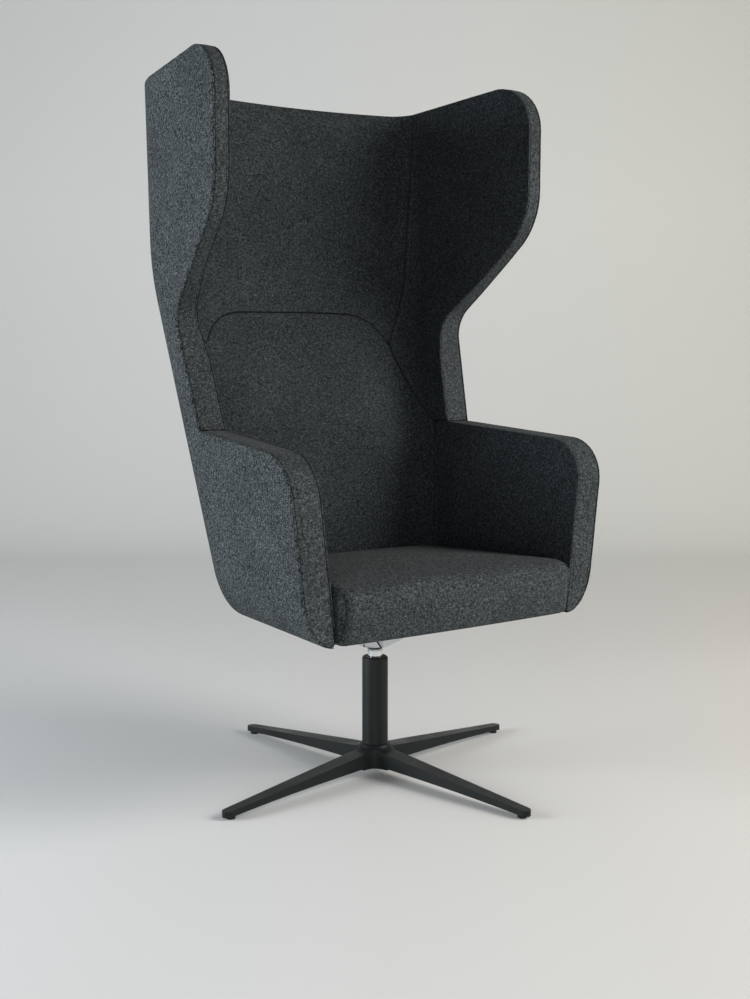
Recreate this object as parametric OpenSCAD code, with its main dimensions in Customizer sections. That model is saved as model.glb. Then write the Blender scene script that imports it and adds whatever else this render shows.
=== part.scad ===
// Acoustic high back lounge chair on a four leg swivel base.
// Millimetres, +Z up, the sitter looks along -Y, the origin is on the floor under the swivel axis.
// The lower half (seat, arms, lower back) and the hood (wings, head rest) are two upholstered
// shells that meet in a level seam; each is a moulded shell between a cover and an inner pad.

/* [Swivel base] */
// Radius from the swivel axis to the tip of a leg
leg_reach = 378.5; // [320:0.5:440]
// Number of legs
leg_count = 4; // [4:1:5]
// Turn of the legs against the seat as the chair stands, degrees
base_turn = 10.8; // [0:0.1:60]
// Width of a leg at the hub
leg_root_w = 34; // [30:1:40]
// Width of a leg at its tip
leg_tip_w = 20.5; // [18:0.5:26]
// Height of the top line of a leg, carried on to the axis
leg_top_h = 51; // [46:1:54]
// Height of the top of a leg at its tip
leg_tip_h = 15.4; // [13:0.2:18]
// Height of the underside of the hub
hub_under_h = 19; // [16:0.5:22]
// Height of the underside of a leg at its tip
leg_tip_under = 5; // [4:0.5:7]
// Radius of the hollow curve from a leg up to the column
hub_fillet_r = 24; // [16:1:30]
// Radius of the hollow corner between two legs, seen from above
crotch_r = 22; // [12:1:30]
// Height of a glide below the leg
glide_gap = 3; // [2:0.5:4]

/* [Column] */
// Outer diameter of the column
column_d = 50; // [46:1:56]
// Wall of the column tube
column_wall = 2.5; // [2:0.5:4]
// Height of the joint between the hub and the column tube
column_foot_h = 60; // [56:1:66]
// Height of the top of the domed cap
column_top_h = 230; // [216:1:232]
// Diameter of the swivel spindle
spindle_d = 28.6; // [24:0.1:32]
// Diameter of the lower journal of the spindle
journal_d = 20; // [16:0.5:22]
// Diameter of the bolt that holds the column on the hub
base_bolt_d = 10; // [8:1:12]

/* [Seat spider] */
// Height of the shoulder that carries the spider
shoulder_h = 241; // [236:1:246]
// Diameter of the spider hub
spider_hub_d = 47; // [42:1:54]
// Distance of a seat bolt from the axis
spider_bolt_r = 165; // [145:1:168]
// Width of a spider arm
spider_arm_w = 38; // [32:1:44]
// Wall of a spider arm
spider_wall = 4; // [3:0.5:6]
// Diameter of a seat bolt
seat_bolt_d = 8; // [6:1:10]

/* [Outer shape] */
// Half width of the chair outside, at the bend and level with the axis
half_w = 359; // [330:1:390]
// Height of the underside of the upholstery
under_h = 327; // [318:1:336]
// Height at which the sides and the back turn upright
bend_h = 965; // [940:1:1000]
// Half of the height over which they turn
bend_half = 60; // [30:5:80]
// Outward lean of the sides below the bend, degrees
side_lean = 6.28; // [4:0.1:8]
// Splay of the sides in plan, degrees
side_splay = 5.5; // [3:0.1:7]
// Distance of the outer back from the axis at the bend
back_y = 364; // [350:1:384]
// Lean of the outer back below the bend, degrees
back_lean = 15.6; // [13:0.1:17]
// Lean of the outer back above the bend, degrees
back_lean_top = 2.6; // [0:0.1:5]
// Radius of the outer rear corners in plan
corner_r = 120; // [100:5:140]
// Radius of the bow of the outer back in plan
bow_r = 1400; // [1200:50:2000]
// Height of the rounded lower edge
under_round_h = 80; // [60:5:90]
// Width of the rounded lower edge at the front of the arms
under_round_w = 50; // [40:1:52]
// Width of the rounded lower edge round the back
under_round_back_w = 36; // [30:1:48]

/* [Inner shape] */
// Distance of the inner back from the axis at the bend
lining_y = 325; // [315:1:330]
// Lean of the inner back below the bend, degrees
lining_lean = 17.6; // [15:0.1:19]
// Lean of the inner back above the bend, degrees
lining_lean_top = 3.3; // [0:0.1:5]
// Radius of the inner rear corners in plan
lining_corner_r = 55; // [45:5:70]
// Radius of the bow of the inner back in plan
lining_bow_r = 1300; // [1100:50:1800]
// Thickness of the arms
arm_t = 59; // [54:1:66]
// Thickness of the wings above the waist
wing_t = 34; // [32:1:42]
// Height at which the wings start to thin
thin_from_h = 780; // [740:5:800]
// Height at which the wings are thin
thin_to_h = 990; // [960:5:1020]

/* [Arms] */
// Distance of the front of the arms from the axis
arm_front = 256.5; // [240:0.5:270]
// Height of the seam between the arms and the hood
seam_h = 669; // [655:1:690]
// Distance behind the axis of the front end of that seam
seam_front_y = 110; // [95:1:125]
// Rise of the arm top to the rear, degrees
arm_rise = 3.8; // [0:0.1:5]
// Radius of the front corner of an arm
arm_corner_r = 82; // [70:1:110]

/* [Hood] */
// Height of the hood at the front end of its top edge
hood_h = 1333; // [1290:1:1360]
// Distance of the hood front from the axis
hood_front = 52; // [35:1:65]
// Fall of the top edge to the rear, degrees
hood_fall = 3.7; // [1:0.1:4]
// Radius of the top front corner
hood_corner_r = 88; // [60:1:100]
// Height of the knee where the wing front turns upright
knee_h = 1063.7; // [1050:0.1:1080]
// Radius of the knee
knee_r = 140; // [90:5:160]
// Height of the waist
waist_h = 876; // [865:1:890]
// Distance of the waist behind the axis
waist_y = 169.5; // [160:0.5:178]
// Radius of the waist
waist_r = 60; // [40:5:80]

/* [Layers] */
// Thickness of the outer cover with its backing foam
cover_t = 12; // [10:0.5:13]
// Thickness of the moulded shells
shell_t = 8; // [6:0.5:9]
// Depth of the sewn band that closes the front and top edges
band_t = 12; // [10:0.5:16]
// Gap between upholstered pieces
soft_gap = 0.4; // [0.3:0.05:0.5]
// Height of the middle of the tongue of the back cushion
tongue_h = 892; // [870:1:905]
// Half width of the tongue at its foot
tongue_half_w = 254; // [250:1:256]

/* [Seat] */
// Height of the seat at its front edge
seat_h = 430; // [420:1:440]
// Fall of the seat to the rear, degrees
seat_fall = 2.3; // [0:0.1:4]
// Crown of the seat cushion
seat_crown = 15; // [6:1:20]
// Radius of the upper edge of the seat cushion
seat_edge_r = 24; // [16:1:30]
// Thickness of the seat board
board_t = 15; // [12:1:18]
// Height of the underside of the seat board
board_h = 345.5; // [343:0.5:347]
// Width of a cross rail under the board
rail_w = 32; // [26:1:34]
// Thickness of the cloth under the seat
under_cloth_t = 1; // [0.8:0.1:1.4]

/* [Hidden] */

// Colours
felt = [0.25, 0.27, 0.28];
felt_dark = [0.19, 0.2, 0.21];
black_coat = [0.09, 0.1, 0.1];
chrome = [0.8, 0.82, 0.83];
polished = [0.72, 0.73, 0.73];
zinc = [0.6, 0.62, 0.62];
nylon = [0.12, 0.12, 0.12];
birch = [0.78, 0.63, 0.42];
shell_grey = [0.45, 0.42, 0.38];

// Facets of round parts
round_fn = 64;
small_fn = 32;
// Overrun of a cut past the face it opens
over = 1;
// Radial running clearance of the swivel
run_gap = 0.05;
// Radial clearance of parts that stay put
seat_gap = 0.02;
// Gap between rigid parts and soft parts
lie_gap = 0.3;

// Hub, legs and glides
leg_steps = 10;
glide_r = 8;
glide_stem_r = 3;
glide_stem_h = 5;
glide_recess = 1.5;
glide_inset = 17;
spigot_h = 18;
bolt_head_r = 9;
bolt_head_h = 7;
bolt_washer_r = 13;
bolt_washer_h = 2;
hub_recess_r = 14;
hub_recess_h = 4;
plug_t = 12;
hub_r = column_d / 2;
tube_r = column_d / 2 - column_wall;

// Bearings in the column
bush_h = 26;
bush_recess_h = 11;
bush_recess_r = 15;
washer_t = 2;
washer_r = 19;
ring_t = 1.6;
ring_r = 12.5;
ring_groove = 1;
cap_rim_h = 9;
cap_dome_r = 5;
cap_bush_h = 24;
plug_base_h = column_foot_h + spigot_h + lie_gap;
bush_base_h = plug_base_h + plug_t;
washer_base_h = bush_base_h + bush_h;
journal_base_h = bush_base_h + 3 * washer_t;
ring_base_h = journal_base_h + washer_t;
cap_base_h = column_top_h - cap_rim_h;

// Spindle head and spider
head_d = 24;
head_h = 43;
screw_d = 10;
screw_washer_r = 16;
screw_washer_t = 3;
screw_head_r = 8.5;
screw_head_h = 6.4;
screw_len = 30;
spider_hub_h = 9;
spider_hub_top = shoulder_h + head_h + lie_gap;
spider_arm_low_h = 10;
spider_pad_r = 17;
spider_pad_t = 9;
spider_end_r = spider_bolt_r + spider_pad_r;
spider_top_h = under_h - under_cloth_t;
spider_arm_tip_w = 30;
arm_bend_share = 0.72;
spider_low_share = 0.3;

// Bolts and nuts through the cross rails
bolt_head_d = 14;
seat_bolt_head_h = 5;
nut_flange_r = 11;
nut_flange_t = 1.6;
nut_barrel_r = 5.5;
rail_half_len = 205;
rail_half_rear = 118;
bolt_xy = spider_bolt_r * cos(45);

// Seat board and the cloth below it
board_front_y = 232;
cloth_inset = 3;
cloth_hub_r = 62;

// Seat cushion
lip_t = 21;
seat_corner_r = 22;
seat_front_bow = 5;
seat_side_gap = 1.2;

// Hood plates
plate_w = 50;
plate_t = 3;
plate_h = 110;
plate_x = 90;

// Columns of the upholstery: 0 to 1 is the bow of the back, 1 to 2 a rear corner, 2 to 3 a side
back_cols = [0, 0.35, 0.7, 1];
corner_cols = [1.25, 1.5, 1.75, 2];
half_cols = concat(back_cols, corner_cols);
rear_cols = concat([for (i = [len(half_cols) - 1 : -1 : 1]) -half_cols[i]], half_cols);
side_cols = [2, 2.4, 3];
joint_share = 0.003;
back_seam_c = corner_cols[0];
tuck_share = 0.0075;
arm_cols = [2 + joint_share, 2.4, 3];
wrap_cols = concat([back_seam_c + joint_share],
    [for (i = [1 : len(corner_cols) - 2]) corner_cols[i]], [2 - 3 * joint_share]);
panel_half = concat(back_cols, [back_seam_c]);
panel_cols = concat([for (i = [len(panel_half) - 1 : -1 : 1]) -panel_half[i]], panel_half);

// Tongue line of the back cushion: share of its half width, share of its height over the seam
tongue_shares = [
    [0, 1], [0.551, 0.995], [0.62, 0.98], [0.68, 0.945], [0.74, 0.9], [0.79, 0.842],
    [0.839, 0.73], [0.882, 0.59], [0.945, 0.376], [0.975, 0.2], [0.99, 0.06], [1, 0]
];

// Slopes
splay = tan(side_splay);
arm_slope = tan(arm_rise);
hood_slope = tan(hood_fall);
arm_top_front_h = seam_h - arm_slope * (seam_front_y + arm_front);
hood_knee_y = -hood_front;
hood_corner_h = hood_h + hood_slope * hood_corner_r;

// A value that changes at one rate below the bend and at another above it, blended by a parabola
function bent(z, v, low, high) =
    v + (z <= bend_h - bend_half ? low * (z - bend_h)
        : z >= bend_h + bend_half ? high * (z - bend_h)
        : low * (z - bend_h) + (high - low) * pow(z - bend_h + bend_half, 2) / (4 * bend_half));
// Half width outside at height z, level with the axis
function side_x(z) = bent(z, half_w, tan(side_lean), 0);
// Outer back and inner back at height z
function outer_back(z) = bent(z, back_y, tan(back_lean), tan(back_lean_top));
function inner_back(z) = bent(z, lining_y, tan(lining_lean), tan(lining_lean_top));
// Smooth step from 0 to 1
function smooth(t) = t <= 0 ? 0 : t >= 1 ? 1 : t * t * (3 - 2 * t);
// Thickness of an arm or wing at height z
function side_t(z) =
    arm_t + (wing_t - arm_t) * smooth((z - thin_from_h) / (thin_to_h - thin_from_h));
// How far the rounded lower edge draws the outer surface in at height z, at the arm fronts or
// at column c of the wrap
function draw_in(z) =
    let (s = max(0, min(1, (under_h + under_round_h - z) / under_round_h)))
    under_round_w * (1 - sqrt(1 - s * s));
function draw_at(z, c) =
    draw_in(z) * mix(under_round_back_w / under_round_w, 1, max(0, min(1, abs(c) - 2)));
function mix(a, b, t) = a + (b - a) * t;

// Plan of a wrap: straight splayed sides, corner arcs, bowed back.
// Gives the corner centre, the angle of the bow and the two radii.
function wrap_depth(u, y0, rc, rb) =
    -rc * sin(side_splay) + rb
        - sqrt(pow(rb - rc, 2) - pow(u - splay * y0 - rc * cos(side_splay), 2));
function wrap_start(u, yb, rc, rb) =
    let (y1 = yb - wrap_depth(u, yb - rc, rc, rb), y2 = yb - wrap_depth(u, y1, rc, rb))
    yb - wrap_depth(u, y2, rc, rb);
function wrap(u, yb, rc, rb) =
    let (y0 = wrap_start(u, yb, rc, rb), cx = u - splay * y0 - rc * cos(side_splay))
    [cx, y0 - rc * sin(side_splay), asin(cx / (rb - rc)), rc, rb, yb - rb, u];
function outer_wrap(z) = wrap(side_x(z), outer_back(z), corner_r, bow_r);
function inner_wrap(z) = wrap(side_x(z) - side_t(z), inner_back(z), lining_corner_r, lining_bow_r);
// Point of a wrap drawn in by d, at column c; yf is where a side ends at the front
function wrap_point(w, c, d, yf) =
    let (s = abs(c), g = c < 0 ? -1 : 1, bow = min(s, 1) * w[2],
        turn = 90 - w[2] + (side_splay - 90 + w[2]) * (min(s, 2) - 1),
        y2 = w[1] + (w[3] - d) * sin(side_splay), y = y2 + (yf - y2) * (s - 2))
    s <= 1 ? [g * (w[4] - d) * sin(bow), w[5] + (w[4] - d) * cos(bow)]
    : s <= 2 ? [g * (w[0] + (w[3] - d) * cos(turn)), w[1] + (w[3] - d) * sin(turn)]
    : [g * (w[6] - d / cos(side_splay) - splay * y), y];
// Point of a layer at column c and height z: outer layers count their depth from the outer
// surface, the lining counts it from the inner surface
function outer_point(c, z, d, yf) =
    let (p = wrap_point(outer_wrap(z), c, draw_at(z, c) + d, yf)) [p[0], p[1], z];
function inner_point(c, z, d, yf) =
    let (p = wrap_point(inner_wrap(z), c, d, yf)) [p[0], p[1], z];
function layer_point(outer, c, z, d, yf) =
    outer ? outer_point(c, z, d, yf) : inner_point(c, z, d, yf);

// Outline paths in the side view: each corner is [y, z, radius]; a station is [y, z, ty, tz]
function unit(v) = v / norm(v);
function turn_angle(a, b) = atan2(a[0] * b[1] - a[1] * b[0], a[0] * b[0] + a[1] * b[1]);
function spin(v, a) = [v[0] * cos(a) - v[1] * sin(a), v[0] * sin(a) + v[1] * cos(a)];
function corner_stations(p0, p1, p2, r, n) =
    let (a = unit([p1[0] - p0[0], p1[1] - p0[1]]), b = unit([p2[0] - p1[0], p2[1] - p1[1]]),
        ang = turn_angle(a, b), side = ang < 0 ? -1 : 1, leg = r * tan(abs(ang) / 2),
        start = [p1[0] - a[0] * leg, p1[1] - a[1] * leg],
        centre = [start[0] - a[1] * r * side, start[1] + a[0] * r * side])
    [for (i = [0 : n])
        let (t = spin(a, ang * i / n))
        [centre[0] + t[1] * r * side, centre[1] - t[0] * r * side, t[0], t[1]]];
function line_stations(s, e, n) =
    let (t = unit([e[0] - s[0], e[1] - s[1]]))
    [for (i = [1 : n - 1]) [s[0] + (e[0] - s[0]) * i / n, s[1] + (e[1] - s[1]) * i / n, t[0], t[1]]];
function inset_y(s, d) = s[0] + s[3] * d;
function inset_z(s, d) = s[1] - s[2] * d;

// Hood outline from the seam up the wing front and along the top to the rear corner
hood_rear_y = outer_point(2, hood_h - hood_slope * (hood_front + inner_back(hood_h)), 0, 0)[1];
hood_start = [seam_front_y, seam_h + soft_gap];
hood_end = [hood_rear_y, hood_corner_h - hood_slope * (hood_rear_y + hood_front)];
waist_pt = [waist_y, waist_h];
knee_pt = [hood_knee_y, knee_h];
corner_pt = [hood_knee_y, hood_corner_h];
waist_arc = corner_stations(hood_start, waist_pt, knee_pt, waist_r, 4);
knee_arc = corner_stations(waist_pt, knee_pt, corner_pt, knee_r, 4);
corner_arc = corner_stations(knee_pt, corner_pt, hood_end, hood_corner_r, 6);
hood_stations = concat(
    [[hood_start[0], hood_start[1], 0, 1]],
    line_stations(hood_start, waist_arc[0], 3), waist_arc,
    line_stations(waist_arc[4], knee_arc[0], 4), knee_arc,
    line_stations(knee_arc[4], corner_arc[0], 2), corner_arc
);
hood_top_stations = line_stations(corner_arc[6], hood_end, 3);

// Arm outline from the underside up the front and along the top to the rear corner
arm_corner_pt = [-arm_front, arm_top_front_h];
arm_seam_pt = [seam_front_y, seam_h];
arm_arc = corner_stations([-arm_front, under_h], arm_corner_pt, arm_seam_pt, arm_corner_r, 6);
shell_floor = board_h - soft_gap;
pad_floor = board_h + board_t + lie_gap;
low_round_shares = [0, 0.03, 0.12];
high_round_shares = [0.72, 1];
round_rows = concat([for (s = low_round_shares) under_h + s * under_round_h],
    [shell_floor, pad_floor], [for (s = high_round_shares) under_h + s * under_round_h]);
arm_stations = concat(
    [for (z = round_rows) [-arm_front, z, 0, 1]],
    line_stations([-arm_front, under_h + under_round_h], arm_arc[0], 3), arm_arc
);
arm_top_stations = line_stations(arm_arc[6], arm_seam_pt, 3);

// Height along a row that starts at the front station s; rows tilt evenly up to the top edge
function hood_row_z(s, y) =
    s[1] - hood_slope * min(1, (s[1] - seam_h) / (hood_h - 2 * band_t - seam_h)) * (y - s[0]);
function arm_row_z(s, y) =
    s[1] + arm_slope * max(0, s[1] - under_h - under_round_h) / (arm_top_front_h - under_h
        - under_round_h) * (min(y, seam_front_y) - s[0]);
function row_z(hood, s, y) = hood ? hood_row_z(s, y) : arm_row_z(s, y);
// Point of a layer on the row of front station s
function row_point(hood, outer, s, c, d) =
    let (y0 = layer_point(outer, c, s[1], d, s[0])[1], z = row_z(hood, s, y0),
        p = layer_point(outer, c, z, d, s[0]))
    [p[0], p[1], row_z(hood, s, p[1])];
// Front stations of a sheet that stays inside the band
function held_in(stations, d, low) =
    [for (s = stations) [inset_y(s, d), max(low, inset_z(s, d))]];

// Closed sheet between two grids of the same size; the triangles of one that spans both sides
// are laid out in mirror image
function grid_faces(rows, cols, base, flip, both) =
    [for (i = [0 : rows - 2], j = [0 : cols - 2])
        let (a = base + i * cols + j, b = a + 1, c = a + cols, d = c + 1,
            left = both && j < (cols - 1) / 2)
        each left ? (flip ? [[a, d, b], [a, c, d]] : [[a, b, d], [a, d, c]])
            : (flip ? [[a, c, b], [b, c, d]] : [[a, b, c], [b, d, c]])];
function rim(rows, cols) = concat(
    [for (j = [0 : cols - 2]) j],
    [for (i = [0 : rows - 2]) i * cols + cols - 1],
    [for (j = [cols - 1 : -1 : 1]) (rows - 1) * cols + j],
    [for (i = [rows - 1 : -1 : 1]) i * cols]);
module sheet(front, rear, both = false) {
    rows = len(front);
    cols = len(front[0]);
    half = rows * cols;
    edge = rim(rows, cols);
    wall = [for (k = [0 : len(edge) - 1])
        let (a = edge[k], b = edge[(k + 1) % len(edge)])
        each [[a, b + half, b], [a, a + half, b + half]]];
    polyhedron(
        points = concat([for (r = front) each r], [for (r = rear) each r]),
        faces = concat(grid_faces(rows, cols, 0, false, both),
            grid_faces(rows, cols, half, true, both), wall)
    );
}
// Closed bar through a row of rings, each a convex ring of the same number of points
module bar(rings) {
    n = len(rings[0]);
    last = (len(rings) - 1) * n;
    polyhedron(
        points = [for (r = rings) each r],
        faces = concat(
            [for (i = [0 : len(rings) - 2], j = [0 : n - 1])
                let (a = i * n + j, b = i * n + (j + 1) % n)
                each [[a, b, b + n], [a, b + n, a + n]]],
            [for (j = [1 : n - 2]) [0, j + 1, j]],
            [for (j = [1 : n - 2]) [last, last + j, last + j + 1]])
    );
}

// Base

module leg_plan() {
    tip_r = leg_tip_w / 2;
    polygon([[0, -leg_root_w / 2], [leg_reach * leg_top_share, -leg_root_w / 2],
        [leg_reach - tip_r, -tip_r], [leg_reach - tip_r, tip_r],
        [leg_reach * leg_top_share, leg_root_w / 2], [0, leg_root_w / 2]]);
    translate([leg_reach - tip_r, 0])
        circle(r = tip_r, $fn = small_fn);
}
leg_top_share = 0.25;
function leg_top(r) = leg_top_h + (leg_tip_h - leg_top_h) * r / leg_reach;
function leg_under(r) = hub_under_h - (hub_under_h - leg_tip_under) * pow(r / leg_reach, 2);
// Side view of the star from its axis: the leg, and the hollow curve up to the column foot
module star_side() {
    mid_r = hub_r + hub_fillet_r;
    mid_h = leg_top(mid_r) + hub_fillet_r;
    polygon(concat(
        [for (i = [0 : leg_steps]) [leg_reach * i / leg_steps, leg_under(leg_reach * i / leg_steps)]],
        [[leg_reach + over, leg_under(leg_reach)], [leg_reach + over, leg_top(leg_reach + over)],
            [0, leg_top(0)]]));
    difference() {
        polygon([[0, leg_tip_h], [mid_r, leg_tip_h], [mid_r, leg_top(mid_r) - over / 2],
            [hub_r, column_foot_h], [0, column_foot_h]]);
        translate([mid_r, mid_h])
            circle(r = hub_fillet_r, $fn = round_fn);
    }
}
// Round corner in plan between two legs
module leg_crotch() {
    half = 180 / leg_count;
    centre = (leg_root_w / 2 + crotch_r) / sin(half);
    touch = (leg_root_w / 2 + crotch_r) / tan(half);
    inner = leg_root_w / 2 - over;
    rotate([0, 0, half])
        difference() {
            polygon([[0, 0],
                [touch * cos(half) + inner * sin(half), inner * cos(half) - touch * sin(half)],
                [centre, 0],
                [touch * cos(half) + inner * sin(half), touch * sin(half) - inner * cos(half)]]);
            translate([centre, 0])
                circle(r = crotch_r, $fn = round_fn);
        }
}
module each_leg() {
    for (i = [0 : leg_count - 1])
        rotate([0, 0, base_turn + 360 / leg_count * i])
            children();
}
glide_at = leg_reach - glide_inset;
glide_top_h = glide_gap + leg_under(glide_at);
module star_base() {
    color(black_coat)
        difference() {
            union() {
                intersection() {
                    linear_extrude(height = column_foot_h)
                        each_leg() {
                            leg_plan();
                            leg_crotch();
                        }
                    rotate([0, 0, base_turn])
                        rotate_extrude($fn = round_fn)
                            star_side();
                }
                translate([0, 0, column_foot_h - over])
                    cylinder(r = tube_r - seat_gap, h = spigot_h + over, $fn = round_fn);
            }
            cylinder(r = base_bolt_d / 2 + lie_gap, h = column_foot_h + spigot_h + over,
                $fn = small_fn);
            cylinder(r = hub_recess_r, h = hub_under_h + hub_recess_h, $fn = small_fn);
            each_leg()
                translate([glide_at, 0, 0]) {
                    cylinder(r = glide_r + lie_gap, h = leg_under(glide_at) + glide_recess,
                        $fn = small_fn);
                    cylinder(r = glide_stem_r + seat_gap,
                        h = leg_under(glide_at) + glide_recess + glide_stem_h, $fn = small_fn);
                }
        }
}
module glides() {
    color(nylon)
        each_leg()
            translate([glide_at, 0, 0]) {
                cylinder(r = glide_r, h = leg_under(glide_at) + glide_recess, $fn = small_fn);
                cylinder(r = glide_stem_r,
                    h = leg_under(glide_at) + glide_recess + glide_stem_h, $fn = small_fn);
            }
}
module column_tube() {
    color(black_coat)
        difference() {
            translate([0, 0, column_foot_h])
                cylinder(r = hub_r, h = cap_base_h - column_foot_h, $fn = round_fn);
            translate([0, 0, column_foot_h - over])
                cylinder(r = tube_r, h = plug_base_h - column_foot_h + over, $fn = round_fn);
            translate([0, 0, bush_base_h])
                cylinder(r = tube_r, h = cap_base_h - bush_base_h + over, $fn = round_fn);
            cylinder(r = base_bolt_d / 2 + seat_gap, h = bush_base_h + over, $fn = small_fn);
        }
}
module base_bolt() {
    head_top_h = hub_under_h + hub_recess_h - bolt_washer_h;
    color(zinc) {
        translate([0, 0, head_top_h])
            cylinder(r = bolt_washer_r, h = bolt_washer_h, $fn = small_fn);
        translate([0, 0, head_top_h - bolt_head_h])
            cylinder(r = bolt_head_r, h = bolt_head_h, $fn = 6);
        translate([0, 0, head_top_h])
            cylinder(r = base_bolt_d / 2, h = bush_base_h - head_top_h, $fn = small_fn);
    }
}
module lower_bush() {
    color(nylon)
        translate([0, 0, bush_base_h])
            difference() {
                cylinder(r = tube_r - seat_gap, h = bush_h, $fn = round_fn);
                translate([0, 0, -over])
                    cylinder(r = journal_d / 2 + run_gap, h = bush_h + 2 * over, $fn = round_fn);
                translate([0, 0, -over])
                    cylinder(r = bush_recess_r, h = bush_recess_h + over, $fn = round_fn);
            }
}
module thrust_washer() {
    color(chrome)
        translate([0, 0, washer_base_h])
            difference() {
                cylinder(r = washer_r, h = washer_t, $fn = round_fn);
                translate([0, 0, -over])
                    cylinder(r = journal_d / 2 + 4 * run_gap, h = washer_t + 2 * over,
                        $fn = round_fn);
            }
}
module column_cap() {
    bore_r = spindle_d / 2 + run_gap;
    color(nylon)
        difference() {
            union() {
                rotate_extrude($fn = round_fn)
                    translate([0, cap_base_h]) {
                        square([hub_r, cap_rim_h - cap_dome_r]);
                        square([hub_r - cap_dome_r, cap_rim_h]);
                        intersection() {
                            translate([hub_r - cap_dome_r, cap_rim_h - cap_dome_r])
                                circle(r = cap_dome_r, $fn = round_fn);
                            square([hub_r, cap_rim_h]);
                        }
                    }
                translate([0, 0, cap_base_h - cap_bush_h])
                    cylinder(r = tube_r - seat_gap, h = cap_bush_h + over, $fn = round_fn);
            }
            translate([0, 0, cap_base_h - cap_bush_h - over])
                cylinder(r = bore_r, h = cap_bush_h + cap_rim_h + 2 * over, $fn = round_fn);
        }
}

// Spindle and spider

module spindle() {
    color(chrome)
        difference() {
            union() {
                translate([0, 0, journal_base_h])
                    cylinder(r = journal_d / 2, h = washer_base_h + washer_t - journal_base_h,
                        $fn = round_fn);
                translate([0, 0, washer_base_h + washer_t])
                    cylinder(r = spindle_d / 2, h = shoulder_h - washer_base_h - washer_t,
                        $fn = round_fn);
                translate([0, 0, shoulder_h])
                    cylinder(r = head_d / 2, h = head_h, $fn = round_fn);
            }
            translate([0, 0, ring_base_h])
                difference() {
                    cylinder(r = journal_d / 2 + over, h = ring_t, $fn = round_fn);
                    cylinder(r = journal_d / 2 - ring_groove, h = ring_t, $fn = round_fn);
                }
            translate([0, 0, shoulder_h + head_h - screw_len])
                cylinder(r = screw_d / 2 + seat_gap, h = screw_len + over, $fn = small_fn);
        }
}
module retaining_ring() {
    color(zinc)
        translate([0, 0, ring_base_h + seat_gap])
            difference() {
                cylinder(r = ring_r, h = ring_t - 2 * seat_gap, $fn = round_fn);
                translate([0, 0, -over])
                    cylinder(r = journal_d / 2 - ring_groove + seat_gap, h = ring_t + 2 * over,
                        $fn = round_fn);
            }
}
module spindle_screw() {
    color(zinc) {
        translate([0, 0, spider_hub_top])
            cylinder(r = screw_washer_r, h = screw_washer_t, $fn = small_fn);
        translate([0, 0, spider_hub_top + screw_washer_t])
            cylinder(r = screw_head_r, h = screw_head_h, $fn = 6);
        translate([0, 0, spider_hub_top - screw_len + spider_wall])
            cylinder(r = screw_d / 2, h = screw_len, $fn = small_fn);
    }
}
// Side view of an arm: it leaves the hub low, rises and ends in a level pad
module spider_arm_side(drop) {
    hub_edge = spider_hub_d / 2;
    low = shoulder_h + spider_arm_low_h + drop;
    pad_low = spider_top_h - spider_pad_t + drop;
    bend_r = spider_bolt_r * arm_bend_share;
    polygon([[0, low], [hub_edge * spider_low_share, low], [hub_edge, low],
        [spider_bolt_r - spider_pad_r, pad_low], [spider_end_r + over, pad_low],
        [spider_end_r + over, spider_top_h], [bend_r, spider_top_h - drop],
        [hub_edge, spider_hub_top - drop], [0, spider_hub_top - drop]]);
}
module spider_arm_plan(wall) {
    w = spider_arm_w / 2 - wall;
    tip = spider_arm_tip_w / 2 - wall;
    polygon([[0, -w], [spider_bolt_r, -tip], [spider_bolt_r, tip], [0, w]]);
    translate([spider_bolt_r, 0])
        circle(r = tip, $fn = small_fn);
}
module spider_arm(drop, wall) {
    intersection() {
        linear_extrude(height = spider_top_h + over * (wall > 0 ? -1 : 1))
            spider_arm_plan(wall);
        rotate([90, 0, 0])
            translate([0, 0, -spider_arm_w])
                linear_extrude(height = 2 * spider_arm_w)
                    spider_arm_side(drop);
    }
}
module each_spider_arm() {
    for (i = [0 : 3])
        rotate([0, 0, 45 + 90 * i])
            children();
}
module spider_cavity() {
    // Hollow underside of an arm: opens downwards, leaves the hub and the bolt pad solid
    start = spider_hub_d / 2 + spider_wall;
    stop = spider_bolt_r - spider_pad_r;
    low = shoulder_h;
    rise = (spider_top_h - spider_pad_t - shoulder_h - spider_arm_low_h);
    roof = shoulder_h + spider_arm_low_h + spider_wall * 3;
    intersection() {
        linear_extrude(height = spider_top_h)
            spider_arm_plan(spider_wall);
        rotate([90, 0, 0])
            translate([0, 0, -spider_arm_w])
                linear_extrude(height = 2 * spider_arm_w)
                    polygon([[start, low], [stop, low], [stop, roof + rise * 0.8], [start, roof]]);
    }
}
module seat_spider() {
    color(polished)
        difference() {
            union() {
                rotate_extrude($fn = round_fn)
                    difference() {
                        translate([0, shoulder_h])
                            square([spider_hub_d / 2, spider_hub_top - shoulder_h]);
                        translate([spider_hub_d / 2, shoulder_h])
                            circle(r = spider_hub_h, $fn = round_fn);
                    }
                each_spider_arm() spider_arm(0, 0);
            }
            each_spider_arm() spider_cavity();
            translate([0, 0, shoulder_h - over])
                cylinder(r = head_d / 2 + seat_gap, h = spider_hub_top - shoulder_h + 2 * over,
                    $fn = round_fn);
            each_spider_arm()
                translate([spider_bolt_r, 0, spider_top_h - spider_pad_t - over])
                    cylinder(r = seat_bolt_d / 2 + lie_gap, h = spider_pad_t + 2 * over,
                        $fn = small_fn);
        }
}
rail_top_h = board_h - seat_gap;
nut_top_h = board_h + board_t;
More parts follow.
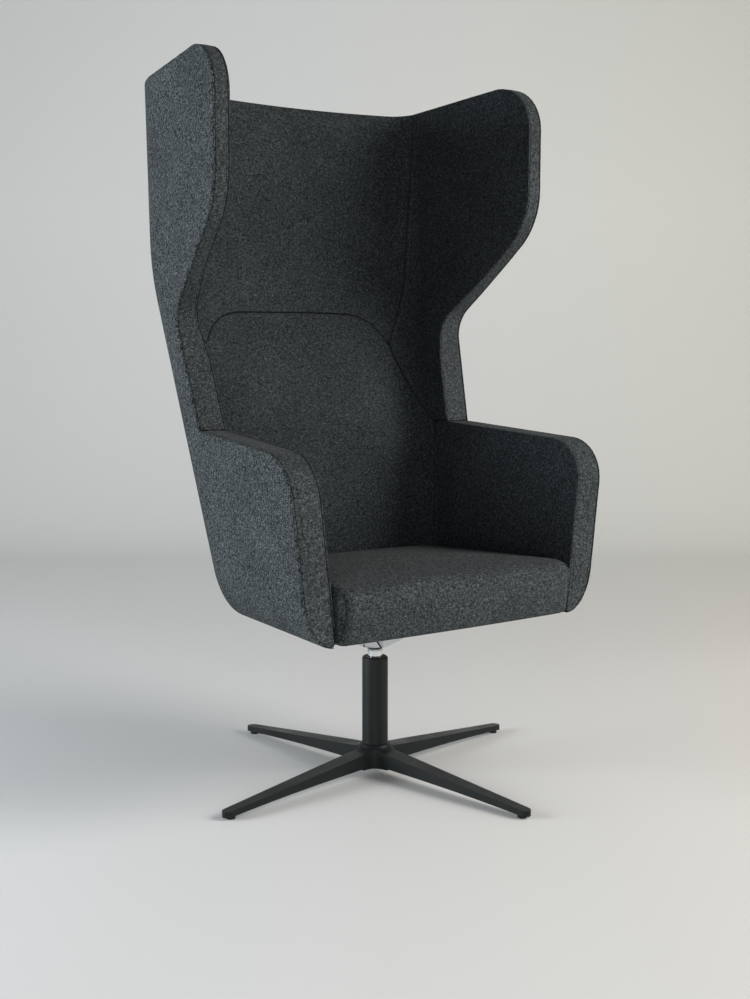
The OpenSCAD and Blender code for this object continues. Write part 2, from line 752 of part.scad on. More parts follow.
module spider_bolts() {
    color(zinc)
        each_spider_arm()
            translate([spider_bolt_r, 0, spider_top_h - spider_pad_t]) {
                translate([0, 0, -seat_bolt_head_h])
                    cylinder(r = bolt_head_d / 2, h = seat_bolt_head_h, $fn = 6);
                cylinder(r = seat_bolt_d / 2, h = nut_top_h - spider_top_h + spider_pad_t,
                    $fn = small_fn);
            }
}
module tee_nuts() {
    color(zinc)
        each_spider_arm()
            translate([spider_bolt_r, 0, 0])
                difference() {
                    union() {
                        translate([0, 0, nut_top_h])
                            cylinder(r = nut_flange_r, h = nut_flange_t, $fn = small_fn);
                        translate([0, 0, board_h])
                            cylinder(r = nut_barrel_r, h = board_t, $fn = small_fn);
                    }
                    translate([0, 0, board_h - over])
                        cylinder(r = seat_bolt_d / 2 + seat_gap, h = board_t + nut_flange_t
                            + 2 * over, $fn = small_fn);
                }
}

// Seat frame

module cross_rail(y, half) {
    color(birch)
        difference() {
            translate([-half, y - rail_w / 2, under_h + seat_gap])
                cube([2 * half, rail_w, rail_top_h - under_h - seat_gap]);
            for (x = [-bolt_xy, bolt_xy])
                translate([x, y, under_h - over])
                    cylinder(r = seat_bolt_d / 2 + lie_gap, h = rail_top_h - under_h + 2 * over,
                        $fn = small_fn);
        }
}
module cross_rail_front() {
    cross_rail(-bolt_xy, rail_half_len);
}
module cross_rail_rear() {
    cross_rail(bolt_xy, rail_half_rear);
}
// Plan outline that follows the outer surface at height z, drawn in by d, cut off at the front
module wrap_plan(z, d, front) {
    polygon([for (c = full_cols) let (p = outer_point(c, z, d, -front)) [p[0], p[1]]]);
}
module seat_board() {
    color(birch)
        difference() {
            translate([0, 0, board_h])
                linear_extrude(height = board_t)
                    wrap_plan(board_h, shell_in + soft_gap, board_front_y);
            each_spider_arm()
                translate([spider_bolt_r, 0, board_h - over])
                    cylinder(r = nut_barrel_r + seat_gap, h = board_t + 2 * over, $fn = small_fn);
        }
}
module underside_cloth() {
    color(nylon)
        difference() {
            translate([0, 0, spider_top_h])
                linear_extrude(height = under_cloth_t)
                    wrap_plan(under_h, cloth_inset, board_front_y);
            each_spider_arm()
                translate([spider_bolt_r, 0, spider_top_h - over])
                    cylinder(r = seat_bolt_d / 2 + lie_gap, h = under_cloth_t + 2 * over,
                        $fn = small_fn);
            translate([0, 0, spider_top_h - over])
                cylinder(r = cloth_hub_r, h = under_cloth_t + 2 * over, $fn = round_fn);
        }
}

// Moulded shells

shell_out = cover_t + soft_gap;
shell_in = cover_t + soft_gap + shell_t;
pad_back = shell_in + soft_gap;
held = band_t + 2 * soft_gap;
full_cols = concat([for (i = [len(side_cols) - 1 : -1 : 1]) -side_cols[i]], rear_cols,
    [for (i = [1 : len(side_cols) - 1]) side_cols[i]]);
// Rows of the lower shell: sides end under the arm band, the back rises to the seam
arm_rows = held_in(arm_stations, held, under_h);
function low_shell_grid(d) = [for (s = arm_rows) if (s[1] >= shell_floor)
    [for (c = full_cols) row_point(false, true, s, c, d)]];
module lower_shell() {
    color(shell_grey)
        sheet(low_shell_grid(shell_out), low_shell_grid(shell_in), true);
}
hood_rows = held_in(hood_stations, held, hood_start[1]);
function hood_grid(outer, cols, d) = [for (s = hood_rows)
    [for (c = cols) row_point(true, outer, s, c, d)]];
module hood_shell() {
    color(shell_grey)
        sheet(hood_grid(true, full_cols, shell_out), hood_grid(true, full_cols, shell_in), true);
}
plate_bow = bow_r - sqrt(pow(bow_r, 2) - pow(plate_x + plate_w / 2, 2));
module place_plate(x) {
    translate([x, outer_back(seam_h) - pad_back - plate_bow - lie_gap, seam_h])
        rotate([-back_lean, 0, 0])
            children();
}
module hood_plates() {
    color(zinc)
        for (x = [-plate_x, plate_x])
            place_plate(x)
                translate([-plate_w / 2, -plate_t, -plate_h / 2])
                    cube([plate_w, plate_t, plate_h]);
}

// Upholstery of the lower half

function arm_grid(outer, d, lift) = [for (s = arm_rows)
    if (s[1] >= lift) [for (c = arm_cols) row_point(false, outer, s, c, d)]];
function capped(z, d) = min(d, side_t(z) - draw_in(z) - band_t / 4);
// Behind the arm band the cover rises to the seam under the hood
arm_row_top = arm_row_z(arm_rows[len(arm_rows) - 1], seam_front_y);
function risen(s) =
    let (z = arm_row_z(s, seam_front_y))
    z + (seam_h - soft_gap - arm_row_top) * (z - under_h) / (arm_row_top - under_h);
function cover_grid(d) = [for (s = arm_rows)
    concat([for (c = wrap_cols) layer_point(true, c, risen(s), capped(s[1], d), 0)],
        [for (c = arm_cols) row_point(false, true, s, c, capped(s[1], d))])];
module arm_cover_right() {
    color(felt)
        sheet(cover_grid(0), cover_grid(cover_t));
}
module arm_cover_left() {
    mirror([1, 0, 0]) arm_cover_right();
}
module arm_pad_right() {
    color(felt_dark)
        sheet(arm_grid(true, pad_back, pad_floor), arm_grid(false, 0, pad_floor));
}
module arm_pad_left() {
    mirror([1, 0, 0]) arm_pad_right();
}
low_back_rows = concat(round_rows, [seam_h - soft_gap]);
module lower_back_cover() {
    color(felt)
        sheet([for (z = low_back_rows) [for (c = panel_cols) layer_point(true, c, z, 0, 0)]],
            [for (z = low_back_rows) [for (c = panel_cols)
                layer_point(true, c, z, cover_t, 0)]], true);
}
// Ring of a band at a side station: outer face, crowned edge, inner face
edge_inset = 1.2;
edge_depth = 1.3;
crown_rise = 0.5;
function band_point(outer, s, d, e) =
    let (y = inset_y(s, d), z = max(inset_z(s, d), s[4]),
        x = side_x(z) - splay * y - (outer ? draw_in(z) + e : side_t(z) - e))
    [x, y, z];
function side_ring(s, thin) =
    let (m = mix(band_point(true, s, 0, 0), band_point(false, s, 0, 0), 0.5))
    [band_point(true, s, band_t, 0), band_point(true, s, 2 * edge_depth, 0),
        band_point(true, s, edge_depth, edge_inset * thin),
        band_point(true, s, crown_rise, 2 * edge_inset * thin), m,
        band_point(false, s, crown_rise, 2 * edge_inset * thin),
        band_point(false, s, edge_depth, edge_inset * thin),
        band_point(false, s, 2 * edge_depth, 0), band_point(false, s, band_t, 0)];
arm_band_stations = concat(
    [for (s = arm_stations) concat(s, [under_h])],
    [for (s = arm_top_stations) concat(s, [under_h])],
    [[seam_front_y, seam_h - soft_gap, 1, 0, under_h]]);
function thin_share(z) =
    (side_t(z) - draw_in(z)) / arm_t;
// Last ring of the arm band, square to the side where the rear corner starts
function arm_end(outer, d, e) =
    let (z = seam_h - soft_gap - d)
    outer_point(2 + 7 * joint_share, z, outer ? e : arm_t * cos(side_splay) - e, seam_front_y);
arm_end_ring = [arm_end(true, band_t, 0), arm_end(true, 2 * edge_depth, 0),
    arm_end(true, edge_depth, edge_inset), arm_end(true, crown_rise, 2 * edge_inset),
    mix(arm_end(true, 0, 0), arm_end(false, 0, 0), 0.5),
    arm_end(false, crown_rise, 2 * edge_inset), arm_end(false, edge_depth, edge_inset),
    arm_end(false, 2 * edge_depth, 0), arm_end(false, band_t, 0)];
module arm_band_right() {
    color(felt)
        bar(concat(
            [for (s = arm_band_stations) side_ring(s, thin_share(s[1]))],
            [arm_end_ring]));
}
module arm_band_left() {
    mirror([1, 0, 0]) arm_band_right();
}
// Rows round the back: they leave out the stations that only the front edges need
rear_row_picks = [0, 2, 3, 5, 7, 8, 9, 10, 11, 13, 15, 17];
back_row_picks = [4, 5, 6, 8, 11, 15];
rear_rows = concat([for (k = rear_row_picks) hood_rows[k]], [hood_rows[len(hood_rows) - 1]]);
// Back cushion with its tongue, in front of both shells
inner_cols = [for (c = rear_cols) c * (1 - tuck_share)];
function cushion_row(hood, outer, s, d) =
    [for (c = inner_cols) row_point(hood, outer, s, c, d)];
function cushion_grid(outer, d) = concat(
    [for (k = back_row_picks) cushion_row(false, outer, arm_rows[k], d)],
    [for (s = rear_rows) if (s[1] < tongue_h + under_round_h) cushion_row(true, outer, s, d)]);
// Outline of the cushion in the front view, as a block through both layers
module tongue_block(spread) {
    rise = tongue_h - seam_h;
    right = [for (t = tongue_shares) [t[0] * tongue_half_w, seam_h + t[1] * rise]];
    left = [for (i = [1 : len(right) - 1]) [-right[i][0], right[i][1]]];
    rotate([90, 0, 0])
        translate([0, 0, -2 * half_w])
            linear_extrude(height = 2 * half_w)
                offset(delta = spread)
                    polygon(concat([[-half_w, seam_h], [-half_w, 0], [half_w, 0],
                        [half_w, seam_h]], [for (i = [len(right) - 1 : -1 : 0]) right[i]],
                        left));
}
module back_cushion() {
    color(felt)
        difference() {
            intersection() {
                sheet(cushion_grid(true, pad_back), cushion_grid(false, 0), true);
                tongue_block(0);
            }
            for (x = [-plate_x, plate_x])
                place_plate(x)
                    translate([-plate_w / 2 - lie_gap, -plate_t - lie_gap, -plate_h / 2 - lie_gap])
                        cube([plate_w + 2 * lie_gap, 4 * plate_t,
                            plate_h + 2 * lie_gap]);
        }
}
// Seat cushion: plan rings up the sides, over the rounded edge and in to the crown
seat_rear_cols = [for (i = [0 : 12]) 2 - i / 3];
seat_steps = 4;
function seat_side_x(z, y, e) =
    let (low = seat_level(z, y)) side_x(low) - side_t(low) - splay * y - seat_side_gap - e;
function seat_rear_point(c, z, e) =
    let (y = inner_point(c, z, seat_side_gap + e, 0)[1],
        p = inner_point(c, seat_level(z, y), seat_side_gap + e, 0))
    [p[0], p[1]];
function seat_ring(z, e) =
    let (front = -arm_front + e, r = seat_corner_r,
        yc = front + r, cx = seat_side_x(z, yc, e) - r)
    concat(
        [for (c = seat_rear_cols) seat_rear_point(c, z, e)],
        [for (t = [0.35, 0.7])
            let (y = mix(seat_rear_point(-2, z, e)[1], yc, t))
            [-seat_side_x(z, y, e), y]],
        [for (i = [0 : seat_steps])
            [-cx - r * cos(90 * i / seat_steps), yc - r * sin(90 * i / seat_steps)]],
        [for (t = [-0.5, 0, 0.5]) [2 * t * cx, front - seat_front_bow * (1 - 4 * t * t)]],
        [for (i = [seat_steps : -1 : 0])
            [cx + r * cos(90 * i / seat_steps), yc - r * sin(90 * i / seat_steps)]],
        [for (t = [0.7, 0.35])
            let (y = mix(seat_rear_point(2, z, e)[1], yc, t))
            [seat_side_x(z, y, e), y]]);
seat_low = under_h + soft_gap;
seat_slope = tan(seat_fall);
function seat_level(z, y) = z - seat_slope * (y + arm_front) * smooth((z - pad_floor)
    / (seat_h - pad_floor));
// Profile of the sides: height and how far the ring is drawn in there
lip_r = 10;
side_profile = concat(
    [for (i = [0 : 3]) [seat_low + lip_r * (1 - cos(30 * i)), lip_r * (1 - sin(30 * i))]],
    [[mix(seat_low, seat_h, 0.5), 0]],
    [for (i = [0 : 5])
        [seat_h - seat_edge_r + seat_edge_r * sin(18 * i), seat_edge_r * (1 - cos(18 * i))]]);
crown_shares = [0.93, 0.8, 0.6, 0.35];
seat_mid_y = -60;
seat_cushion_rings = concat(
    [for (p = side_profile)
        [for (q = seat_ring(p[0], p[1])) [q[0], q[1], seat_level(p[0], q[1])]]],
    [for (k = crown_shares)
        [for (q = seat_ring(seat_h, seat_edge_r))
            let (y = mix(seat_mid_y, q[1], k))
            [q[0] * k, y, seat_level(seat_h, y) + seat_crown * (1 - k * k)]]]);
module seat_cushion() {
    rings = seat_cushion_rings;
    n = len(rings[0]);
    last = (len(rings) - 1) * n;
    top = len(rings) * n;
    peak = [0, seat_mid_y, seat_level(seat_h, seat_mid_y) + seat_crown];
    floor_pt = [0, seat_mid_y, seat_low];
    color(felt)
        difference() {
            polyhedron(
                points = concat([for (r = rings) each r], [peak, floor_pt]),
                faces = concat(
                    [for (i = [0 : len(rings) - 2], j = [0 : n - 1])
                        let (a = i * n + j, b = i * n + (j + 1) % n)
                        each [[a, b + n, b], [a, a + n, b + n]]],
                    [for (j = [0 : n - 1]) [last + j, top, last + (j + 1) % n]],
                    [for (j = [0 : n - 1]) [j, (j + 1) % n, top + 1]])
            );
            translate([-half_w, lip_t - arm_front, under_h - over])
                cube([2 * half_w, 2 * half_w, pad_floor - under_h + over]);
            each_spider_arm()
                translate([spider_bolt_r, 0, board_h])
                    cylinder(r = nut_flange_r + lie_gap, h = board_t + nut_flange_t + lie_gap,
                        $fn = small_fn);
        }
}

// Upholstery of the hood

module hood_side_cover_right() {
    color(felt)
        sheet(hood_grid(true, concat(wrap_cols, arm_cols), 0),
            hood_grid(true, concat(wrap_cols, arm_cols), cover_t));
}
module hood_side_cover_left() {
    mirror([1, 0, 0]) hood_side_cover_right();
}
function hood_top_z(y) = hood_h - hood_slope * (y - hood_corner_r + hood_front);
function hood_rear_grid(outer, cols, d) = [for (s = rear_rows)
    [for (c = cols) row_point(true, outer, s, c, d)]];
module hood_back_cover() {
    color(felt)
        sheet(hood_rear_grid(true, panel_cols, 0), hood_rear_grid(true, panel_cols, cover_t), true);
}
module wing_pad_right() {
    color(felt_dark)
        sheet(hood_grid(true, arm_cols, pad_back), hood_grid(false, arm_cols, 0));
}
module wing_pad_left() {
    mirror([1, 0, 0]) wing_pad_right();
}
module head_pad() {
    color(felt_dark)
        difference() {
            sheet(hood_rear_grid(true, inner_cols, pad_back),
                hood_rear_grid(false, inner_cols, 0), true);
            tongue_block(2 * soft_gap);
        }
}
// Band of the hood: up one wing front, over the top edge and down the other wing front
function top_point(outer, c, d, e) =
    let (y = layer_point(outer, c, hood_h, e, 0)[1], z = hood_top_z(y) - d)
    layer_point(outer, c, z, outer ? e : -e, 0);
function top_ring(c) =
    [top_point(true, c, band_t, 0), top_point(true, c, 2 * edge_depth, 0),
        top_point(true, c, edge_depth, edge_inset / 2), top_point(true, c, crown_rise, edge_inset),
        mix(top_point(true, c, 0, 0), top_point(false, c, 0, 0), 0.5),
        top_point(false, c, crown_rise, edge_inset),
        top_point(false, c, edge_depth, edge_inset / 2),
        top_point(false, c, 2 * edge_depth, 0), top_point(false, c, band_t, 0)];
hood_side_rings = [for (s = concat(hood_stations, hood_top_stations))
    side_ring(concat(s, [hood_start[1]]), thin_share(s[1]))];
hood_band_rings = concat(
    hood_side_rings,
    [for (i = [len(rear_cols) - 1 : -1 : 0]) top_ring(rear_cols[i])],
    [for (i = [len(hood_side_rings) - 1 : -1 : 0])
        [for (p = hood_side_rings[i]) [-p[0], p[1], p[2]]]]);
module hood_band() {
    color(felt)
        bar(hood_band_rings);
}

star_base();
glides();
column_tube();
column_cap();
base_bolt();
lower_bush();
thrust_washer();
spindle();
retaining_ring();
seat_spider();
spindle_screw();
spider_bolts();
tee_nuts();
cross_rail_front();
cross_rail_rear();
seat_board();
underside_cloth();
lower_shell();
hood_shell();
hood_plates();
arm_cover_left();
arm_cover_right();
lower_back_cover();
arm_pad_left();
arm_pad_right();
arm_band_left();
arm_band_right();
back_cushion();
seat_cushion();
hood_side_cover_left();
hood_side_cover_right();
hood_back_cover();
wing_pad_left();
wing_pad_right();
head_pad();
hood_band();
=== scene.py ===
import math

import bmesh
import bpy
import numpy as np
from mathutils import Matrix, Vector


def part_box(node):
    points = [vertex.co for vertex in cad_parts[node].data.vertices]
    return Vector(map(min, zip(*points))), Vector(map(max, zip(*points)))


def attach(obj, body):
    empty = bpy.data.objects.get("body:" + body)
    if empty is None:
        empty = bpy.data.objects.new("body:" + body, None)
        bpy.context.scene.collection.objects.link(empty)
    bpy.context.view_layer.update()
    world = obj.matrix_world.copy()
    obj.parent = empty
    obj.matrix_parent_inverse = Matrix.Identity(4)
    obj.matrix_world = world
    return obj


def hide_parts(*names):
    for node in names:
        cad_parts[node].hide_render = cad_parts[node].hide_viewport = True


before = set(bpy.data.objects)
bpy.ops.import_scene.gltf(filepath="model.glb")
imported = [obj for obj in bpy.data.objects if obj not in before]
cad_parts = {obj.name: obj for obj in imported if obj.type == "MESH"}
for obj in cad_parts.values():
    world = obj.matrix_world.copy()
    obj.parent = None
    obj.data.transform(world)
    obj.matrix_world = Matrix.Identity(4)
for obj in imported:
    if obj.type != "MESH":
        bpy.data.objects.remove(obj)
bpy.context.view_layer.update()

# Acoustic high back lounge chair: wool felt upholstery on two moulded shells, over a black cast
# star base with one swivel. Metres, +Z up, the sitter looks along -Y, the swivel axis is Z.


# Room. A seamless pale paper sweep: a level floor that turns up into a wall behind the chair.
# Soft boxes light it: a large one on the left of the picture, two on the right and a small low
# one in front, with weak light from all round.
view_turn = math.radians(-34.836)
camera_data = bpy.data.cameras.new("camera")
camera_data.lens, camera_data.sensor_width = 47.0, 36.0
camera = bpy.data.objects.new("camera", camera_data)
camera.location = (-1.4096, -2.0254, 0.8176)
camera.rotation_euler = (math.radians(83.4255), 0.0, view_turn)
bpy.context.scene.collection.objects.link(camera)
bpy.context.scene.camera = camera
bpy.context.scene.view_settings.view_transform = "Standard"


def put_mesh(name, points, faces, material):
    """Smooth mesh object at the origin from an array of points and a list or array of faces."""
    mesh = bpy.data.meshes.new(name)
    mesh.from_pydata(np.asarray(points, dtype=float).tolist(), [],
                     faces.tolist() if hasattr(faces, "tolist") else faces)
    mesh.polygons.foreach_set("use_smooth", np.full(len(mesh.polygons), True))
    mesh.materials.append(material)
    mesh.update()
    piece = bpy.data.objects.new(name, mesh)
    bpy.context.scene.collection.objects.link(piece)
    return piece


def grid_quads(rows, cols, loop=False):
    """Corner numbers of the cells of a rows by cols grid, closed round the columns if loop."""
    index = np.arange(rows * cols).reshape(rows, cols)
    if loop:
        index = np.concatenate([index, index[:, :1]], axis=1)
    return np.stack([index[:-1, :-1], index[:-1, 1:], index[1:, 1:], index[1:, :-1]],
                    axis=-1).reshape(-1, 4)


def new_finish(name):
    """New material and what builds it: add makes a node and gives its first live output, or the
    one named, shade sets the surface shader, and last the object coordinates."""
    material = bpy.data.materials.new(name)
    material.use_nodes = True
    tree = material.node_tree

    def fill(node, first, values):
        """Gives a node its properties, then its sockets by name or by number: a number or
        colour is set on the socket, and another node's output is linked to it."""
        for key, value in (*values.items(), *enumerate(first)):
            if isinstance(key, str) and hasattr(node, key):
                setattr(node, key, value)
                continue
            socket = node.inputs[key.replace("_", " ") if isinstance(key, str) else key]
            if isinstance(value, bpy.types.NodeSocket):
                tree.links.new(value, socket)
            else:
                socket.default_value = (*value, 1.0) if socket.type == "RGBA" else value

    def add(kind, *first, out=None, stops=(), **values):
        """New node of that kind; stops are the places and colours of a colour ramp."""
        node = tree.nodes.new("ShaderNode" + kind)
        fill(node, first, values)
        for k, (spot, colour) in enumerate(stops):
            stop = node.color_ramp.elements[k] if k < 2 else node.color_ramp.elements.new(spot)
            stop.position, stop.color = spot, (*colour, 1.0)
        return node.outputs[out] if out else next(o for o in node.outputs if o.enabled)

    def shade(**values):
        """Sets or links the sockets of the surface shader."""
        fill(tree.nodes["Principled BSDF"], (), values)

    return material, add, shade, add("TexCoord", out="Object")


# The paper's tone is painted light and shade. It is one pale sheet, painted lighter up the wall
# than on the floor, and warmer and darker towards the right of the picture.
paper, add, shade, place = new_finish("paper_sweep")
axes = add("SeparateXYZ", add("Mapping", place, Rotation=(0.0, 0.0, -view_turn))).node.outputs
painted_shade_across = add("MapRange", axes["X"], interpolation_type="SMOOTHSTEP", From_Min=-0.6, From_Max=1.6)
lifted = add("MapRange", axes["Y"], interpolation_type="SMOOTHSTEP", From_Min=1.0, From_Max=3.2)
near, far = [add("Mix", data_type="RGBA", Factor=painted_shade_across, A=cool, B=warm)
             for cool, warm in (((0.636, 0.645, 0.648), (0.580, 0.563, 0.522)),
                                ((0.745, 0.755, 0.752), (0.735, 0.730, 0.690)))]
shade(Roughness=0.9, Specular_IOR_Level=0.1,
      Base_Color=add("Mix", data_type="RGBA", Factor=lifted, A=near, B=far))

# The sweep's section is a level run, a quarter circle of radius sweep_round and an upright run.
sweep_front, sweep_back, sweep_round, sweep_top, sweep_half = -7.0, 2.6, 1.5, 6.0, 9.0
turn = np.linspace(0.0, math.pi / 2.0, 24)
run = np.concatenate([[sweep_front, 0.0], sweep_back + sweep_round * np.sin(turn),
                      [sweep_back + sweep_round]])[:, None]
rise = np.concatenate([[0.0, 0.0], sweep_round * (1.0 - np.cos(turn)), [sweep_top]])[:, None]
across = np.linspace(-sweep_half, sweep_half, 3)
grid = np.stack(np.broadcast_arrays(
    across * math.cos(view_turn) - run * math.sin(view_turn),
    across * math.sin(view_turn) + run * math.cos(view_turn), rise), axis=-1)
sweep = put_mesh("paper_sweep", grid.reshape(-1, 3), grid_quads(len(run), len(across)), paper)

for name, size, spot, aim_h, power, colour in (
        ("window_box", 1.6, (-3.011, 1.085, 0.9), 0.7, 109.0, (0.955, 1.005, 1.045)),
        ("right_high_box", 1.8, (2.194, -2.597, 2.6), 0.7, 94.0, (1.030, 0.998, 0.955)),
        ("right_low_box", 2.2, (2.015, -2.590, 1.4), 0.7, 68.0, (1.035, 0.998, 0.950)),
        ("front_low_box", 1.0, (-1.5, -2.3, 0.5), 0.55, 14.0, (1.0, 1.0, 1.0))):
    lamp = bpy.data.lights.new(name, "AREA")
    lamp.shape = "RECTANGLE"
    lamp.size = lamp.size_y = size
    lamp.energy, lamp.color = power, colour
    box = bpy.data.objects.new(name, lamp)
    box.location = spot
    box.rotation_euler = (Vector((0.0, 0.0, aim_h)) - Vector(spot)).to_track_quat(
        "-Z", "Y").to_euler()
    bpy.context.scene.collection.objects.link(box)
world = bpy.data.worlds.new("room_light")
bpy.context.scene.world = world
world.use_nodes = True
world.node_tree.nodes["Background"].inputs["Color"].default_value = (0.96, 0.98, 1.0, 1.0)
world.node_tree.nodes["Background"].inputs["Strength"].default_value = 0.25


# Star base and column: an aluminium casting and a steel tube, both with the same black powder
# coat, which shows a fine orange peel and slow patches. The glides, the column cap and the lower
# bush are turned black nylon, matt from the mould.
def powder_coat(name, colour, roughness, peel):
    """Satin powder coat: fine orange peel in the bump, slow patches in tone and roughness."""
    material, add, shade, place = new_finish(name)
    fine = add("TexNoise", place, Scale=2200.0, Detail=2.0)
    slow = add("TexNoise", place, Scale=18.0, Detail=4.0)
    shade(Specular_IOR_Level=0.23,
          Normal=add("Bump", Height=fine, Strength=peel, Distance=0.0002),
          Roughness=add("MapRange", slow, From_Min=0.3, From_Max=0.7, To_Min=roughness - 0.06,
                        To_Max=roughness + 0.08),
          Base_Color=add("Mix", data_type="RGBA", Factor=slow, A=[c * 0.85 for c in colour],
                         B=[c * 1.25 for c in colour]))
    return material


def dress(material, *names):
    """Gives the named parts of the frame that material in every slot."""
    for name in names:
        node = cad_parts[name]
        if not node.material_slots:
            node.data.materials.append(material)
        for place in node.material_slots:
            place.material = material


dress(powder_coat("black_powder_coat", (0.0052, 0.0074, 0.0076), 0.42, 0.25),
      "star_base", "column_tube")
dress(powder_coat("black_nylon", (0.008, 0.008, 0.008), 0.55, 0.15),
      "glides", "column_cap", "lower_bush")


# Spindle: bright chromed steel. The seat spider is an aluminium casting, polished by hand, so
# it keeps a faint swirl. Screws, nuts, ring and plates are zinc plated.
def bright_metal(name, colour, roughness, brush, stretch):
    """Metal with fine brush lines: stretched noise drives the roughness and a faint bump."""
    material, add, shade, place = new_finish(name)
    lines = add("TexNoise", add("Mapping", place, Scale=stretch), Scale=1.0, Detail=3.0)
    cloud = add("TexNoise", place, Scale=40.0, Detail=3.0)
    shade(Metallic=1.0, Normal=add("Bump", Height=lines, Strength=brush, Distance=0.0001),
          Roughness=add("MapRange", lines, To_Min=max(0.02, roughness - brush * 0.2),
                        To_Max=roughness + brush * 0.3),
          Base_Color=add("Mix", data_type="RGBA", Factor=cloud, A=[c * 0.9 for c in colour],
                         B=colour))
    return material


dress(bright_metal("chromed_steel", (0.78, 0.80, 0.82), 0.08, 0.05, (300.0, 300.0, 4000.0)),
      "spindle")
dress(bright_metal("polished_casting", (0.58, 0.59, 0.60), 0.12, 0.2, (900.0, 900.0, 900.0)),
      "seat_spider")
dress(bright_metal("zinc_plate", (0.55, 0.56, 0.56), 0.32, 0.3, (1500.0, 1500.0, 200.0)),
      "base_bolt", "thrust_washer", "retaining_ring", "spindle_screw", "spider_bolts",
      "tee_nuts", "hood_plates")


# Cross rails: raw birch plywood. The seat board and the two moulded shells, thin veneers glued
# over a former, are stained black, so that no pale edge shows in a seam.
def raw_ply(name, pale, dark, layer, along):
    """Plywood: face grain from noise stretched along one axis, and layers as a wave in Z."""
    material, add, shade, place = new_finish(name)
    grain = add("TexNoise", add("Mapping", place, Scale=along), Scale=1.0, Detail=5.0,
                Distortion=0.4)
    plies = add("TexWave", place, out="Fac", Scale=layer, Distortion=0.3, bands_direction="Z")
    both = add("Math", plies, 0.35, grain, operation="MULTIPLY_ADD")
    shade(Roughness=0.62, Base_Color=add("ValToRGB", both, stops=((0.35, dark), (0.8, pale))),
          Normal=add("Bump", Height=grain, Strength=0.2, Distance=0.0003))
    return material


dress(raw_ply("birch_plywood", (0.60, 0.42, 0.22), (0.42, 0.27, 0.13), 90.0,
              (30.0, 420.0, 420.0)), "cross_rail_front", "cross_rail_rear")
dress(raw_ply("stained_plywood", (0.024, 0.020, 0.017), (0.010, 0.009, 0.008), 60.0,
              (300.0, 300.0, 25.0)), "seat_board", "lower_shell", "hood_shell")


# Underside cloth: black spunbonded cloth, cut to the outline of the seat, with a round hole for
# the hub, and stapled up under the lower shell. The shape of both shells starts here.
under_h, bend_h, bend_half = 0.327, 0.965, 0.060
half_w, back_y = 0.359, 0.364
lining_y, arm_t, wing_t = 0.325, 0.059, 0.034
thin_from_h, thin_to_h = 0.780, 0.990
lean_tan, back_tan, back_top_tan = np.tan(np.radians([6.28, 15.6, 2.6]))
lining_tan, lining_top_tan = np.tan(np.radians([17.6, 3.3]))
splay = math.radians(5.5)
outer_corner_r, outer_bow_r, inner_corner_r, inner_bow_r = 0.120, 1.400, 0.055, 1.300
round_h, round_w, round_back_w = 0.080, 0.050, 0.036


def bent(z, level, low, high):
    """level + low * (z - bend) below the bend and level + high * (z - bend) above it, joined
    by the parabola that is tangent to both over 2 * bend_half."""
    a = z - bend_h
    joined = low * a + (high - low) * (a + bend_half) ** 2 / (4.0 * bend_half)
    return level + np.where(a <= -bend_half, low * a, np.where(a >= bend_half, high * a, joined))


def eased(t):
    """3 t^2 - 2 t^3, held at 0 and 1 outside them."""
    t = np.clip(t, 0.0, 1.0)
    return t * t * (3.0 - 2.0 * t)


def side_half(z):
    """Half of the outer width level with the axis at height z."""
    return bent(z, half_w, lean_tan, 0.0)


def side_thick(z):
    """Thickness of an arm or wing at height z: arm_t, eased into wing_t."""
    return arm_t + (wing_t - arm_t) * eased((z - thin_from_h) / (thin_to_h - thin_from_h))


def lower_draw(z, c):
    """How far the rounded lower edge draws the outside in: round_w (1 - sqrt(1 - s^2)), with s
    from 1 at the underside to 0 a round_h above it, less round the back than along the arms."""
    s = np.clip((under_h + round_h - z) / round_h, 0.0, 1.0)
    share = round_back_w / round_w
    return round_w * (1.0 - np.sqrt(1.0 - s * s)) * (share + (1.0 - share)
                                                     * np.clip(np.abs(c) - 2.0, 0.0, 1.0))


def wrap_at(z, outer):
    """Plan of the outer or inner surface at height z: corner centre, angle of the bow, the two
    radii, the bow's centre and the half width. The side starts where the corner arc, tangent
    to the splayed side and to the bow, ends; three rounds of y0 = back - depth(y0) find it."""
    u = side_half(z) - (0.0 if outer else 1.0) * side_thick(z)
    back = bent(z, back_y, back_tan, back_top_tan) if outer else \
        bent(z, lining_y, lining_tan, lining_top_tan)
    rc, rb = (outer_corner_r, outer_bow_r) if outer else (inner_corner_r, inner_bow_r)
    start = back - rc
    for step in range(4):
        cx = u - math.tan(splay) * start - rc * math.cos(splay)
        if step < 3:
            start = back - (rb - rc * math.sin(splay) - np.sqrt((rb - rc) ** 2 - cx ** 2))
    return cx, start - rc * math.sin(splay), np.arcsin(cx / (rb - rc)), rc, rb, back - rb, u


